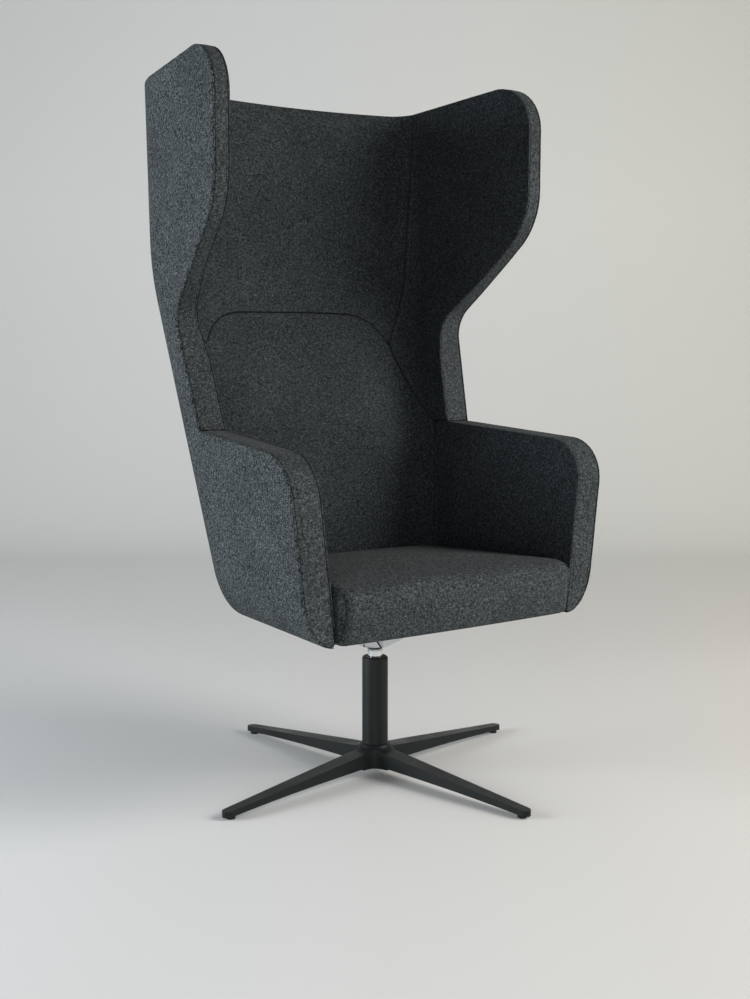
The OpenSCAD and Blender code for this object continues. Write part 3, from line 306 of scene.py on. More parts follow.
def surface(c, z, depth, y_front=0.0, outer=True):
    """Point of the outer or inner surface at column c and height z, moved depth towards the
    middle of the chair. |c| 0 to 1 is the bow of the back, 1 to 2 a rear corner, 2 to 3 the
    straight side as far forward as y_front."""
    c, z, depth, y_front = np.broadcast_arrays(*[np.asarray(v, dtype=float)
                                                 for v in (c, z, depth, y_front)])
    cx, cy, bow, rc, rb, yb, u = wrap_at(z, outer)
    if outer:
        depth = depth + lower_draw(z, c)
    s, sign = np.abs(c), np.where(c < 0.0, -1.0, 1.0)
    a = np.minimum(s, 1.0) * bow
    turn = math.pi / 2.0 - bow + (splay - math.pi / 2.0 + bow) * (np.clip(s, 1.0, 2.0) - 1.0)
    y_start = cy + (rc - depth) * math.sin(splay)
    y_side = y_start + (y_front - y_start) * (s - 2.0)
    x = np.where(s <= 1.0, (rb - depth) * np.sin(a),
                 np.where(s <= 2.0, cx + (rc - depth) * np.cos(turn),
                          u - depth / math.cos(splay) - math.tan(splay) * y_side))
    y = np.where(s <= 1.0, yb + (rb - depth) * np.cos(a),
                 np.where(s <= 2.0, cy + (rc - depth) * np.sin(turn), y_side))
    return np.stack([sign * x, y, z], axis=-1)


def lining_at(c, z, lift=0.0, y_front=0.0):
    """Point of the inner surface, lifted off it towards the middle of the chair."""
    return surface(c, z, lift, y_front, outer=False)


def side_surface(y, z, depth, outer=True, y_front=None):
    """Point of the right side at y and z: x = half width - depth - splay, less the thickness
    on the inner surface. The lower edge's draw grows evenly from the corner to y_front."""
    y, z, depth = np.broadcast_arrays(*[np.asarray(v, dtype=float) for v in (y, z, depth)])
    c = 3.0
    if y_front is not None:
        plan = wrap_at(z, outer)
        start = plan[1] + plan[3] * math.sin(splay)
        c = 2.0 + (start - y) / (start - y_front)
    u = side_half(z) - (lower_draw(z, c) if outer else side_thick(z))
    return np.stack([u - depth / math.cos(splay) - math.tan(splay) * y, y, z], axis=-1)


def close_sheet(front, back, cells=None):
    """Points and faces of the closed sheet between two grids of the same shape. Cells marked
    False are left out, and every open edge of the rest gets a wall from front to back."""
    rows, cols = front.shape[:2]
    cells = np.ones((rows - 1, cols - 1), bool) if cells is None else cells
    quads = grid_quads(rows, cols)[cells.reshape(-1)]
    size = rows * cols
    edges = np.concatenate([quads[:, [k, (k + 1) % 4]] for k in range(4)])
    key = np.sort(edges, axis=1)
    key = key[:, 0] * size + key[:, 1]
    _, first, count = np.unique(key, return_index=True, return_counts=True)
    rim = edges[first[count == 1]]
    walls = np.stack([rim[:, 1], rim[:, 0], rim[:, 0] + size, rim[:, 1] + size], axis=-1)
    faces = np.concatenate([quads, quads[:, ::-1] + size, walls])
    points = np.concatenate([front.reshape(-1, 3), back.reshape(-1, 3)])
    used, faces = np.unique(faces, return_inverse=True)
    return points[used], faces.reshape(-1, 4)


def closed_up(piece, least_area=0.0):
    """Merges a mesh's doubled points, drops faces smaller than least_area and turns the rest
    outwards."""
    form = bmesh.new()
    form.from_mesh(piece.data)
    bmesh.ops.remove_doubles(form, verts=form.verts, dist=1e-6)
    bmesh.ops.delete(form, geom=[f for f in form.faces if f.calc_area() < least_area],
                     context="FACES_ONLY")
    bmesh.ops.recalc_face_normals(form, faces=form.faces)
    form.to_mesh(piece.data)
    form.free()


spun_cloth, add, shade, place = new_finish("spunbonded_cloth")
shade(Roughness=0.95,
      Base_Color=add("Mix", data_type="RGBA", A=(0.008, 0.008, 0.009), B=(0.022, 0.022, 0.023),
                     Factor=add("TexNoise", place, Scale=1500.0, Detail=3.0)),
      Normal=add("Bump", Height=add("TexVoronoi", place, Scale=700.0), Strength=0.5,
                 Distance=0.0003))

cloth_hub_r, cloth_front_y, cloth_inset, cloth_t = 0.0625, -0.2315, 0.0035, 0.0008
cloth_gap, ripple_h = 0.0003, 0.00025
outline = surface(np.linspace(-3.0, 3.0, 241), under_h, cloth_inset, cloth_front_y)[:, :2]
side_run = np.linspace(0.0, 1.0, 40)[1:-1, None]
outline = np.concatenate([outline, outline[-1] + (outline[0] - outline[-1]) * side_run])
turn = np.arctan2(outline[:, 1], outline[:, 0])
hub_ring = cloth_hub_r * np.stack([np.cos(turn), np.sin(turn)], axis=-1)
share = np.linspace(0.0, 1.0, 16)[:, None, None]
flat_points = hub_ring + (outline - hub_ring) * share
ripple = ripple_h * np.sin(9.0 * turn) * np.sin(math.pi * share[..., 0]) ** 2
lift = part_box("underside_cloth")[0][2]
low = np.concatenate([flat_points, (lift + cloth_gap + ripple)[..., None]], axis=-1)
high = low + [0.0, 0.0, cloth_t - cloth_gap]
ring = np.concatenate([high, high[:, :1]], axis=1)
points, faces = close_sheet(ring[::-1], np.concatenate([low, low[:, :1]], axis=1)[::-1])
cloth = put_mesh("dust_cloth", points, faces, spun_cloth)
closed_up(cloth, 1e-12)
area = 0.5 * abs(np.sum(outline[:, 0] * np.roll(outline[:, 1], -1)
                        - outline[:, 1] * np.roll(outline[:, 0], -1)))
area -= math.pi * cloth_hub_r ** 2
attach(cloth, "seat")
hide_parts("underside_cloth")


# Outer side covers: each is one piece of melange wool felt on a thin foam backing, drawn over
# the outside of an arm and its wing. The front edge turns in over the band, where it is sewn.
def wool_felt(name, dark, middle, light, fleck, sheen=0.0):
    """Melange felt: dark and pale fibres at three sizes mixed over a middle tone, with the
    same fibres standing up in the bump, and slow patches where the nap lies another way."""
    material, add, shade, place = new_finish(name)
    along, across, fuzz = [
        add("TexNoise", add("Mapping", place, Scale=stretch), Scale=scale, Detail=3.0,
            Roughness=0.65)
        for scale, stretch in ((430.0, (1.0, 1.0, 0.45)), (430.0, (0.45, 0.45, 1.25)),
                               (1300.0, (1.0, 1.0, 1.0)))]
    mixed = add("Math", fuzz, 0.5, add("Math", along, across, operation="ADD"),
                operation="MULTIPLY_ADD")
    spread = add("MapRange", mixed, From_Min=1.25 - fleck, From_Max=1.25 + fleck)
    fibres = add("ValToRGB", spread, stops=((0.1, dark), (0.95, light), (0.5, middle)))
    nap = add("MapRange", add("TexNoise", place, Scale=9.0, Detail=3.0), From_Min=0.3,
              From_Max=0.7, To_Min=0.88, To_Max=1.12)
    shade(Roughness=0.95, Specular_IOR_Level=0.1, Sheen_Weight=sheen, Sheen_Roughness=0.5,
          Base_Color=add("VectorMath", fibres, operation="SCALE", Scale=nap),
          Normal=add("Bump", Height=mixed, Strength=0.55, Distance=0.0006))
    return material


# One felt is made in three copies. This one, with a little sheen, is for the bands and the seat.
# The next, with stronger flecks and no sheen, is for the lit outer covers. A darker one for the
# inner faces follows further on, and its darkness is painted shade.
felt = wool_felt("charcoal_melange_felt", (0.0060, 0.0071, 0.0076), (0.0310, 0.0364, 0.0388),
                 (0.096, 0.110, 0.116), 0.31, 0.03)
cover_felt = wool_felt("charcoal_melange_felt_outside", (0.0048, 0.0057, 0.0061),
                       (0.0300, 0.0350, 0.0370), (0.106, 0.121, 0.126), 0.205)

# A cover is cover_t thick, but edge_t where it turns in over a band, on a strip of thin_w. A roll
# is the radius and depth of a rolled edge; a row of stitches lies stitch_off beside its seam, in
# a furrow of that depth and width. Beside the rear seam one column counts as column_w of length,
# and a row over an arm as arm_row_w.
cover_t, edge_t, thin_w, seam_gap = 0.0120, 0.0040, 0.0130, 0.0004
seam_roll, top_roll, pad_roll = (0.0030, 0.0026), (0.0040, 0.0036), (0.0022, 0.0018)
stitch_off, furrow, top_seam_h = 0.0078, (0.0008, 0.0013), 0.024
arm_front, seam_h, seam_front_y, arm_corner_r = 0.2565, 0.669, 0.110, 0.082
arm_slope, hood_slope = math.tan(math.radians(3.8)), math.tan(math.radians(3.7))
hood_h, hood_front, hood_corner_r = 1.333, 0.052, 0.088
knee_h, knee_r, waist_h, waist_y, waist_r = 1.0637, 0.140, 0.876, 0.1695, 0.060
back_seam_c, column_w, arm_row_w = 1.25, 0.10, 0.3
arm_top_front_h = seam_h - arm_slope * (seam_front_y + arm_front)
hood_top_h = hood_h + hood_slope * hood_corner_r


def rounded_path(corners):
    """Runs of an outline in the side view: straight ones between corners of [y, z, radius] and
    the arcs that round them, each as (length, start, direction, turn, radius)."""
    spots = [np.array(c[:2]) for c in corners]
    runs, start = [], spots[0]
    for i in range(1, len(spots) - 1):
        a = (spots[i] - spots[i - 1]) / np.linalg.norm(spots[i] - spots[i - 1])
        b = (spots[i + 1] - spots[i]) / np.linalg.norm(spots[i + 1] - spots[i])
        r = corners[i][2]
        turn = math.atan2(a[0] * b[1] - a[1] * b[0], a @ b)
        leg = r * math.tan(abs(turn) / 2.0)
        stop = spots[i] - a * leg
        runs.append((np.linalg.norm(stop - start), start, a, 0.0, 0.0))
        runs.append((r * abs(turn), stop, a, turn, r))
        start = spots[i] + b * leg
    a = spots[-1] - start
    runs.append((np.linalg.norm(a), start, a / np.linalg.norm(a), 0.0, 0.0))
    return runs


def along(runs, pitch, arc_pitch):
    """Stations on an outline as y, z and the direction there: even steps on each run, finer on
    the arcs. A point of an arc is start + r (sin t, 1 - cos t) in the frame of its start."""
    out = []
    for length, start, a, turn, r in runs:
        n = max(1, int(round(length / (arc_pitch if r else pitch))))
        t = np.arange(n) / n
        if r:
            side = math.copysign(1.0, turn)
            left = np.array([-a[1], a[0]]) * side
            angle = np.abs(turn) * t[:, None]
            spot = start + r * (np.sin(angle) * a + (1.0 - np.cos(angle)) * left)
            way = np.cos(angle) * a + np.sin(angle) * left
        else:
            spot = start + a * length * t[:, None]
            way = np.broadcast_to(a, spot.shape)
        out.append(np.concatenate([spot, way], axis=1))
    return out


def edge_distance(points, line):
    """Distance from each point to the nearest of the samples of a line, a block at a time."""
    flat = points.reshape(-1, points.shape[-1]).astype(np.float32)
    line = line.astype(np.float32)
    best = [np.sqrt(((flat[k:k + 1500, None, :] - line[None]) ** 2).sum(-1).min(1))
            for k in range(0, len(flat), 1500)]
    return np.concatenate(best).reshape(points.shape[:-1]).astype(float)


def turned_in(distance, radius, depth):
    """Depth of a rolled edge at that distance from it: depth (1 - sqrt(1 - (1 - d/r)^2))."""
    s = np.clip(1.0 - distance / radius, 0.0, 1.0)
    return depth * (1.0 - np.sqrt(1.0 - s * s))


def channel(distance, centre, depth, width):
    """Furrow that a row of stitching pulls into the cloth: a bell of that depth and width."""
    return depth * np.exp(-((distance - centre) / width) ** 2)


def resample(line, pitch):
    """Points at an even pitch along a polyline, in any number of dimensions."""
    gap = np.linalg.norm(np.diff(line, axis=0), axis=1)
    run = np.concatenate([[0.0], np.cumsum(gap)])
    spots = np.linspace(0.0, run[-1], max(2, int(run[-1] / pitch) + 1))
    return np.stack([np.interp(spots, run, line[:, k]) for k in range(line.shape[1])], axis=1)


def hood_row(z_front, y_front, y):
    """Height along a row of the hood: it tilts evenly up to the fall of the top edge."""
    share = np.minimum(1.0, (z_front - seam_h) / (hood_h - top_seam_h - seam_h))
    return z_front - hood_slope * share * (y - y_front)


def arm_row(z_front, y_front, y):
    """Height along a row of an arm: level low down, tilting up to the slope of the arm top."""
    share = np.clip((z_front - under_h - round_h) / (arm_top_front_h - under_h - round_h),
                    0.0, 1.0)
    return z_front + arm_slope * share * (np.minimum(y, seam_front_y) - y_front)


rear_y = surface(2.0, hood_h - hood_slope * 0.44, 0.0)[1]
hood_path = rounded_path([
    (seam_front_y, seam_h, 0.0), (waist_y, waist_h, waist_r), (-hood_front, knee_h, knee_r),
    (-hood_front, hood_top_h, hood_corner_r),
    (rear_y, hood_top_h - hood_slope * (rear_y + hood_front), 0.0)])
arm_path = rounded_path([
    (-arm_front, under_h + round_h, 0.0), (-arm_front, arm_top_front_h, arm_corner_r),
    (seam_front_y, seam_h, 0.0)])
hood_runs = along(hood_path, 0.009, 0.0045)
hood_front_line = np.concatenate(hood_runs[:-1] + [hood_runs[-1][:1]])
arm_runs = along(arm_path, 0.009, 0.0045)
roll = np.linspace(math.pi / 2.0, 0.0, 15)[:-1]
roll_z = under_h + round_h * (1.0 - np.sin(roll))
arm_foot = np.stack([np.full_like(roll_z, -arm_front), roll_z, roll_z * 0.0, roll_z * 0.0 + 1.0],
                    axis=1)
arm_front_line = np.concatenate([arm_foot] + arm_runs[:-1] + [arm_runs[-1][:1]])
edge_steps = np.array([0.0, 0.0001, 0.0004, 0.0010, 0.0019, 0.0030, 0.0042, 0.0062, 0.0095,
                       0.0126, 0.0140])
edge_w = edge_steps[-1]
corner_c = np.concatenate([np.linspace(2.0, back_seam_c + 0.03, 14)[1:],
                           back_seam_c + np.array([0.022, 0.014, 0.008, 0.003, 0.0])])


def top_line_z(y):
    """Height of the top edge of the hood at y."""
    return hood_top_h - hood_slope * (y + hood_front)


def side_cover_grid():
    """Plan of one side cover: y, z and c of each point, and the cells that the arm top leaves
    open in front of the hood. Rows start at the arm's and the hood's front lines; columns run
    from the arm front to the hood front, on to the rear corner and round it."""
    rows = np.concatenate([arm_front_line, hood_front_line[1:]])
    in_arm = np.arange(len(rows)) < len(arm_front_line)
    front_y, front_z = rows[:, 0], rows[:, 1]
    tall_z = np.where(in_arm, arm_row(front_z, front_y, seam_front_y + 0.08),
                      hood_row(front_z, front_y, 0.2))
    rear = surface(2.0, tall_z, 0.0)[..., 1]
    hood_y = np.where(in_arm, np.minimum(seam_front_y, rear - 0.04), front_y)
    room = np.maximum(hood_y - front_y, 0.0)[:, None]
    share = np.concatenate([edge_steps / arm_row_w,
                            np.linspace(edge_w / arm_row_w, 1.0, 36)[1:-1]])
    arm_part = front_y[:, None] + room * share
    rest = np.linspace(0.0, 1.0, 30)[1:]
    hood_part = np.concatenate([hood_y[:, None] + edge_steps,
                                hood_y[:, None] + edge_w
                                + (rear - hood_y - edge_w)[:, None] * rest], axis=1)
    y = np.concatenate([arm_part, hood_part], axis=1)
    z = np.where(in_arm[:, None], arm_row(front_z[:, None], front_y[:, None], y),
                 hood_row(front_z[:, None], front_y[:, None], y))
    keep = np.ones((len(rows) - 1, y.shape[1] - 1 + len(corner_c)), bool)
    keep[len(arm_front_line) - 1:, :arm_part.shape[1]] = False
    return y, z, front_y[:, None], keep


y, z, front_y, cells = side_cover_grid()
rear_z = z[:, -1:]
flat_edge = np.concatenate([
    resample(np.concatenate([arm_front_line[:, :2], [[seam_front_y, seam_h]]]), 0.001),
    resample(np.concatenate([hood_front_line[:, :2],
                             [[rear_y + 0.12, top_line_z(rear_y + 0.12)]]]), 0.001)])
in_view = edge_distance(np.stack([y, z], axis=-1), flat_edge)
rolled = turned_in(in_view, *top_roll)
far_edge = np.abs(corner_c - back_seam_c) * column_w
top_gap = np.maximum(0.0, top_line_z(surface(corner_c, rear_z, 0.0)[..., 1]) - rear_z)
corner_roll = np.maximum(turned_in(far_edge[None, :], *seam_roll),
                         turned_in(top_gap, *top_roll))


def corner_points(depth):
    """The part of a side cover that goes round the rear corner, its rows held to the fall of
    the top edge."""
    first = surface(corner_c, rear_z, depth)
    tilt = hood_row(rear_z, y[:, -1:], first[..., 1])
    level = np.where(rear_z > seam_h, tilt, rear_z)
    return surface(corner_c, level, depth)


face = np.concatenate([side_surface(y, z, rolled, True, front_y), corner_points(corner_roll)],
                      axis=1)
inner_t = np.where(in_view < thin_w, edge_t, cover_t)
inner_t = np.minimum(inner_t, np.maximum(edge_t, arm_t - lower_draw(z, 3.0) - 0.003))
lining = np.concatenate([side_surface(y, z, inner_t, True, front_y),
                         corner_points(cover_t)], axis=1)


def soft_piece(name, points, faces, material, slot, fill, *nodes):
    """Puts in a finished soft piece of the seat body, ties it to the seat and hides the parts of
    the frame that it stands for.
    """
    piece = put_mesh(name, points, faces, material)
    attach(piece, "seat")
    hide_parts(*nodes)
    return piece


def soft_pair(name, points, faces, material, slot, fill, *nodes):
    """Puts in a piece on the right and its mirror image on the left, faces still outwards."""
    turned = faces[:, ::-1] if hasattr(faces, "tolist") else [f[::-1] for f in faces]
    for side, sign, shape in (("right", 1.0, faces), ("left", -1.0, turned)):
        soft_piece(name + side, points * [sign, 1.0, 1.0], shape, material, slot, fill,
                   *[node + side for node in nodes])


soft_pair("side_cover_", *close_sheet(face[:, ::-1], lining[:, ::-1], cells[:, ::-1]),
          cover_felt, "felt", 0.95, "arm_cover_", "hood_side_cover_")


# Back covers: two felt panels close the outside of the back, one behind the seat and one behind
# the hood. They are sewn to the side covers round the rear corners and to each other at the
# height of the arm tops.
def edge_spread(count, length):
    """Shares from 0 to 1, close together at both ends, for a panel of about that length."""
    near = edge_steps[:9] / length
    middle = np.linspace(near[-1], 1.0 - near[-1], count)[1:-1]
    return np.concatenate([near, middle, 1.0 - near[::-1]])


back_c = (edge_spread(64, 0.62) * 2.0 - 1.0) * (back_seam_c - 0.003)
low_rows = np.concatenate([roll_z, under_h + round_h + (seam_h - seam_gap - under_h - round_h)
                           * edge_spread(26, 0.26)])
high_share = edge_spread(64, 0.64)
lower_z = np.broadcast_to(low_rows[:, None], (len(low_rows), len(back_c)))
top_z = top_line_z(surface(back_c, hood_h - top_seam_h, 0.0)[:, 1])
upper_z = seam_h + seam_gap + (top_z - seam_h - seam_gap) * high_share[:, None]
across = (back_seam_c - np.abs(back_c)) * column_w
for name, z, node in (("back_cover_lower", lower_z, "lower_back_cover"),
                      ("back_cover_hood", upper_z, "hood_back_cover")):
    seam = np.abs(z - seam_h)
    depth = np.maximum(turned_in(across[None, :], *seam_roll), turned_in(seam, *seam_roll))
    if node == "hood_back_cover":
        depth = np.maximum(depth, turned_in(top_z - z, *top_roll))
    deep = np.where((top_z - z < thin_w) & (node == "hood_back_cover"), edge_t, cover_t)
    deep = np.maximum(deep, depth + 0.0004)
    soft_piece(name, *close_sheet(surface(back_c, z, depth), surface(back_c, z, deep)),
               cover_felt, "felt", 0.95, node)


# Arm and wing pads: felt over foam on the inside of the shells. The seam between an arm pad and
# the back cushion, the tongue line above it and the seam up the rear corner of the hood are
# given as the column of the inner surface at each height.
def drawn_through(points, steps=16):
    """Smooth curve through points, a cubic between each two with slopes from the neighbours."""
    p = np.array(points)
    p = np.concatenate([[2.0 * p[0] - p[1]], p, [2.0 * p[-1] - p[-2]]])
    t = (np.arange(steps) / steps)[:, None]
    pieces = [0.5 * ((2.0 * b) + (c - a) * t + (2.0 * a - 5.0 * b + 4.0 * c - d) * t ** 2
                     + (3.0 * b - a - 3.0 * c + d) * t ** 3)
              for a, b, c, d in zip(p[:-3], p[1:-2], p[2:-1], p[3:])]
    return np.concatenate(pieces + [p[-2:-1]])


arm_seam_line = drawn_through([(0.345, 1.52), (0.417, 1.68), (0.483, 1.82), (0.546, 1.94),
                               (0.609, 2.02), (0.669, 2.062)])
tongue_line = drawn_through([(0.669, 2.062), (0.681, 1.976), (0.709, 1.70), (0.754, 1.40),
                             (0.800, 1.13), (0.829, 0.972), (0.858, 0.862), (0.879, 0.735),
                             (0.8895, 0.590), (0.8920, 0.42), (0.8925, 0.20), (0.8927, 0.0)])
liner_line = drawn_through([(0.829, 0.972), (0.870, 1.10), (0.924, 1.25), (1.000, 1.37),
                            (1.065, 1.46), (1.180, 1.62), (1.340, 1.85)])


def column_at(line, z):
    """Column of a seam line at height z."""
    return np.interp(z, line[:, 0], line[:, 1])


def sunk_line(line):
    """A seam line on the inner surface, as points a millimetre apart."""
    return resample(lining_at(line[:, 1], line[:, 0]), 0.001)


# The inner faces get a darker copy of the same felt. This is painted shade for the inside of the
# chair, which lies in shade.
shaded_inside_felt = wool_felt("charcoal_melange_felt_shaded_inside", (0.0052, 0.0063, 0.0069),
                        (0.0232, 0.0280, 0.0305), (0.066, 0.078, 0.085), 0.31)
pad_back, arm_pad_low, corner_seam_h = 0.0208, 0.3612, 0.829
pad_share = edge_spread(52, 0.34)


def side_lining(name, node, front_line, row_height, border, low, seams, seam_turn, foot_turn,
                foot_y, stitch_h, swell):
    """Pad on both sides, from its front line back to the column that border gives at each
    height. The column, and each row's height, which depends on its y, are found by three
    rounds. The face sinks at its rolled edges and in the furrow of the stitching above
    stitch_h, and swells by swell in its middle; its foot is rolled behind foot_y."""
    rows = front_line[front_line[:, 1] >= low]
    y0, z0 = rows[:, :1], rows[:, 1:2]
    z_end = z0 + 0.0
    for _ in range(3):
        c_end = border(z_end)
        z_end = row_height(z0, y0, lining_at(c_end, z_end, 0.0, y0)[..., 1])
    c = 3.0 + (c_end - 3.0) * pad_share
    z = np.broadcast_to(z0, c.shape)
    for _ in range(3):
        y = lining_at(c, z, 0.0, y0)[..., 1]
        z = row_height(z0, y0, y)
    view = edge_distance(np.stack([y, z], axis=-1), flat_edge)
    view = np.where(c > 1.98, view, np.maximum(0.0, top_line_z(y) - z))
    here = lining_at(c, z, 0.0, y0)
    seam_far = edge_distance(here, seams)
    foot_far = np.where(here[..., 1] > foot_y, np.abs(seam_h - z), 1.0)
    sink = np.maximum(turned_in(view, *pad_roll), turned_in(seam_far, *seam_turn))
    sink = np.maximum(sink, turned_in(foot_far, *foot_turn))
    sink = sink + np.where(z > stitch_h, channel(seam_far, stitch_off, *furrow), 0.0)
    puff = swell * eased((view - 0.010) / 0.06) * eased((seam_far - 0.010) / 0.06)
    hidden = np.where((view < thin_w)[..., None], lining_at(c, z, -edge_t, y0),
                      surface(c, z, pad_back, y0))
    soft_pair(name, *close_sheet(lining_at(c, z, puff - sink, y0), hidden), shaded_inside_felt,
              "felt_lining", 0.9, node)


def arm_border(z):
    """Column of the rear seam of an arm pad."""
    return column_at(arm_seam_line, z) + 0.002


def wing_border(z):
    """Column of the rear seam of a wing pad: the tongue line, then the corner seam."""
    return np.where(z < corner_seam_h, column_at(tongue_line, z) + 0.022,
                    column_at(liner_line, z) + 0.004)


side_lining("arm_lining_", "arm_pad_", arm_front_line, arm_row, arm_border, arm_pad_low,
            sunk_line(arm_seam_line), (0.0032, 0.0028), seam_roll, seam_front_y, 0.0, 0.0022)
tongue_side = tongue_line[tongue_line[:, 0] <= corner_seam_h + 1e-7]
wing_seams = np.concatenate([sunk_line(tongue_side), sunk_line(liner_line)])
side_lining("wing_lining_", "wing_pad_", hood_front_line, hood_row, wing_border, seam_h,
            wing_seams, (0.0046, 0.0044), (0.0050, 0.0048), -1.0, 0.84, 0.0018)


# Head pad: the upper inner back, felt over foam, from the tongue line of the back cushion up to
# the top band and from one corner seam to the other.
def even_columns(z, border, shares):
    """Columns of the inner surface, row by row, whose distances along the row from its middle
    are the given shares of the distance to the border column."""
    fine = np.linspace(0.0, 1.0, 161)
    rows = lining_at(fine * border[:, None], z[:, None])
    run = np.cumsum(np.linalg.norm(np.diff(rows, axis=1, prepend=rows[:, :1]), axis=-1), axis=1)
    run /= run[:, -1:]
    return np.stack([np.sign(shares) * b * np.interp(np.abs(shares), r, fine)
                     for r, b in zip(run, border)])


tongue_gap = 0.0011
v = edge_spread(76, 0.56) * 2.0 - 1.0
share = edge_spread(70, 0.45)
z_head = top_line_z(lining_at(column_at(liner_line, 1.31), 1.31)[1])
edge_z = corner_seam_h + (z_head - corner_seam_h) * share
c = even_columns(edge_z, column_at(liner_line, edge_z) - 0.004, v)
z_foot = np.interp(np.abs(c[0]), tongue_line[::-1, 1], tongue_line[::-1, 0]) + tongue_gap
z_top = top_line_z(lining_at(c[-1], z_head)[:, 1])
z = z_foot + (z_top - z_foot) * share[:, None]
here = lining_at(c, z)
top_edge = tongue_line[tongue_line[:, 0] >= corner_seam_h - 1e-7]
whole_top = np.concatenate([top_edge, top_edge[::-1] * [1.0, -1.0]])
tongue_far = edge_distance(here, sunk_line(whole_top))
corner_line = np.concatenate([sunk_line(liner_line), sunk_line(liner_line * [1.0, -1.0])])
corner_far = edge_distance(here, corner_line)
up_far = np.maximum(0.0, top_line_z(here[..., 1]) - z)
sink = np.maximum(turned_in(tongue_far, 0.0052, 0.0050), turned_in(corner_far, 0.0042, 0.0038))
sink = np.maximum(sink, turned_in(up_far, *top_roll))
puff = 0.0020 * eased((tongue_far - 0.008) / 0.06) * eased((corner_far - 0.008) / 0.06)
puff = puff * eased((up_far - 0.010) / 0.06)
face = lining_at(c, z, puff - sink)
hidden = np.where((up_far < thin_w)[..., None], lining_at(c, z, -edge_t),
                  surface(c, z, pad_back))
soft_piece("head_lining", *close_sheet(face[:, ::-1], hidden[:, ::-1]), shaded_inside_felt,
           "felt_lining", 0.9, "head_pad")


# Front bands: a strip of felt over the edge of the shells, sewn to the side cover outside and
# to the pads inside. The arm bands end under the wings; one long band edges the whole hood.
def close_bar(rings):
    """Points and faces of a bar from rings of the same count, with a fan at each end."""
    count, size = rings.shape[:2]
    points = np.concatenate([rings.reshape(-1, 3), rings[:1].mean(axis=1),
                             rings[-1:].mean(axis=1)])
    j = np.arange(size)
    start = np.stack([np.roll(j, -1), j, np.full(size, count * size)], axis=1)
    last = (count - 1) * size
    end = np.stack([last + j, last + np.roll(j, -1), np.full(size, count * size + 1)], axis=1)
    return points, grid_quads(count, size, loop=True).tolist() + start.tolist() + end.tolist()


edge_back, inner_off = edge_t + seam_gap, 0.0055
outer_roll, inner_roll = (0.0030, 0.0030), (0.0018, 0.0016)
rim_share = np.array([0.0, 0.004, 0.012, 0.026, 0.045, 0.07, 0.10, 0.125, 0.15, 0.175, 0.20])
face_share = np.concatenate([rim_share, np.linspace(0.26, 0.74, 7), 1.0 - rim_share[::-1]])
wall_inset = np.array([0.0124, 0.0085, 0.0055])
ring_share = np.concatenate([[0.0, 0.0, 0.0], face_share, [1.0, 1.0, 1.0]])
ring_wall = np.concatenate([wall_inset, face_share * 0.0 - 1.0, wall_inset[::-1]])


def ring_inset(width, stitch_out, stitch_in):
    """How far each point of a band's ring lies behind the front line: a rolled edge on either
    side, tighter on the inner one, a low crown between them, and the furrow of the stitching
    beside a seam."""
    q = ring_share * width
    face = np.maximum(turned_in(q, *outer_roll), turned_in(width - q, *inner_roll))
    face = face - 0.0005 * 4.0 * ring_share * (1.0 - ring_share)
    face = face + stitch_out * channel(q, stitch_off, 0.0009, 0.0014)
    face = face + stitch_in * channel(width - q, inner_off, 0.0008, 0.0012)
    return np.where(ring_wall >= 0.0, ring_wall, face)


def side_band(stations, end_rolls, stitch_out, stitch_in, floor):
    """Rings of a band along stations of the right side. end_rolls draws the rings at a free end
    in, where the band is folded under; the inner corner of an arm's foot is rounded."""
    y, z, ty, tz = [stations[:, k:k + 1] for k in range(4)]
    out_x = side_surface(y, z, edge_back)[..., 0]
    in_x = side_surface(y, z, -edge_back, outer=False)[..., 0]
    foot = np.minimum(turned_in(np.maximum(z - under_h, 0.0), 0.007, 0.0045),
                      0.45 * np.abs(out_x - in_x))
    width = np.maximum(np.abs(out_x - in_x) - foot, 0.0002)
    inset = ring_inset(width, stitch_out, stitch_in) + end_rolls[:, None]
    yy, zz = y + tz * inset, np.maximum(z - ty * inset, floor)
    outside = side_surface(yy, zz, edge_back + end_rolls[:, None] * 0.3)
    inside = side_surface(yy, zz, -edge_back - end_rolls[:, None] * 0.3 - foot, outer=False)
    return outside + (inside - outside) * ring_share[None, :, None]


arm_top_run = along([arm_path[-1]], 0.009, 0.0045)[0]
under_wing = np.stack([seam_front_y + np.linspace(0.0, 0.04, 6), np.full(6, seam_h - seam_gap),
                       np.ones(6), np.zeros(6)], axis=1)
arm_stations = np.concatenate([arm_foot[2:]] + arm_runs[:-1] + [arm_top_run, under_wing])
rings = side_band(arm_stations, np.zeros(len(arm_stations)), 1.0, 1.0, under_h)
soft_pair("arm_edge_", *close_bar(rings[:, ::-1]), felt, "felt", 0.95, "arm_band_")

wing_foot_h = seam_h + 0.0012
top_run = along([hood_path[-1]], 0.012, 0.0045)[0]
hood_stations = np.concatenate(hood_runs[:-1] + [top_run])
fold = np.array([0.0, 0.0004, 0.0012, 0.0026, 0.0046])
foot = np.concatenate([hood_stations[:1]] * len(fold))
foot[:, :2] += fold[:, None] * foot[:, 2:]
hood_stations = np.concatenate([foot, hood_stations[1:]])
hood_stations[:, 1] = np.maximum(hood_stations[:, 1], wing_foot_h)
end_roll = np.zeros(len(hood_stations))
end_roll[:len(fold)] = turned_in(fold, 0.0046, 0.0044)
side_rings = side_band(hood_stations, end_roll, 0.0, 1.0, wing_foot_h)


def rear_rings(c):
    """Rings of the band over the top of the back, one at each column."""
    c = c[:, None]
    near, far = surface(c, hood_h - 0.02, edge_back), lining_at(c, hood_h - 0.02, -edge_back)
    width = np.linalg.norm((far - near)[..., :2], axis=-1)
    mid_y = near[..., 1] + (far - near)[..., 1] * ring_share
    z = top_line_z(mid_y) - ring_inset(width, 0.0, 1.0)
    outside, inside = surface(c, z, edge_back), lining_at(c, z, -edge_back)
    return outside + (inside - outside) * ring_share[None, :, None]


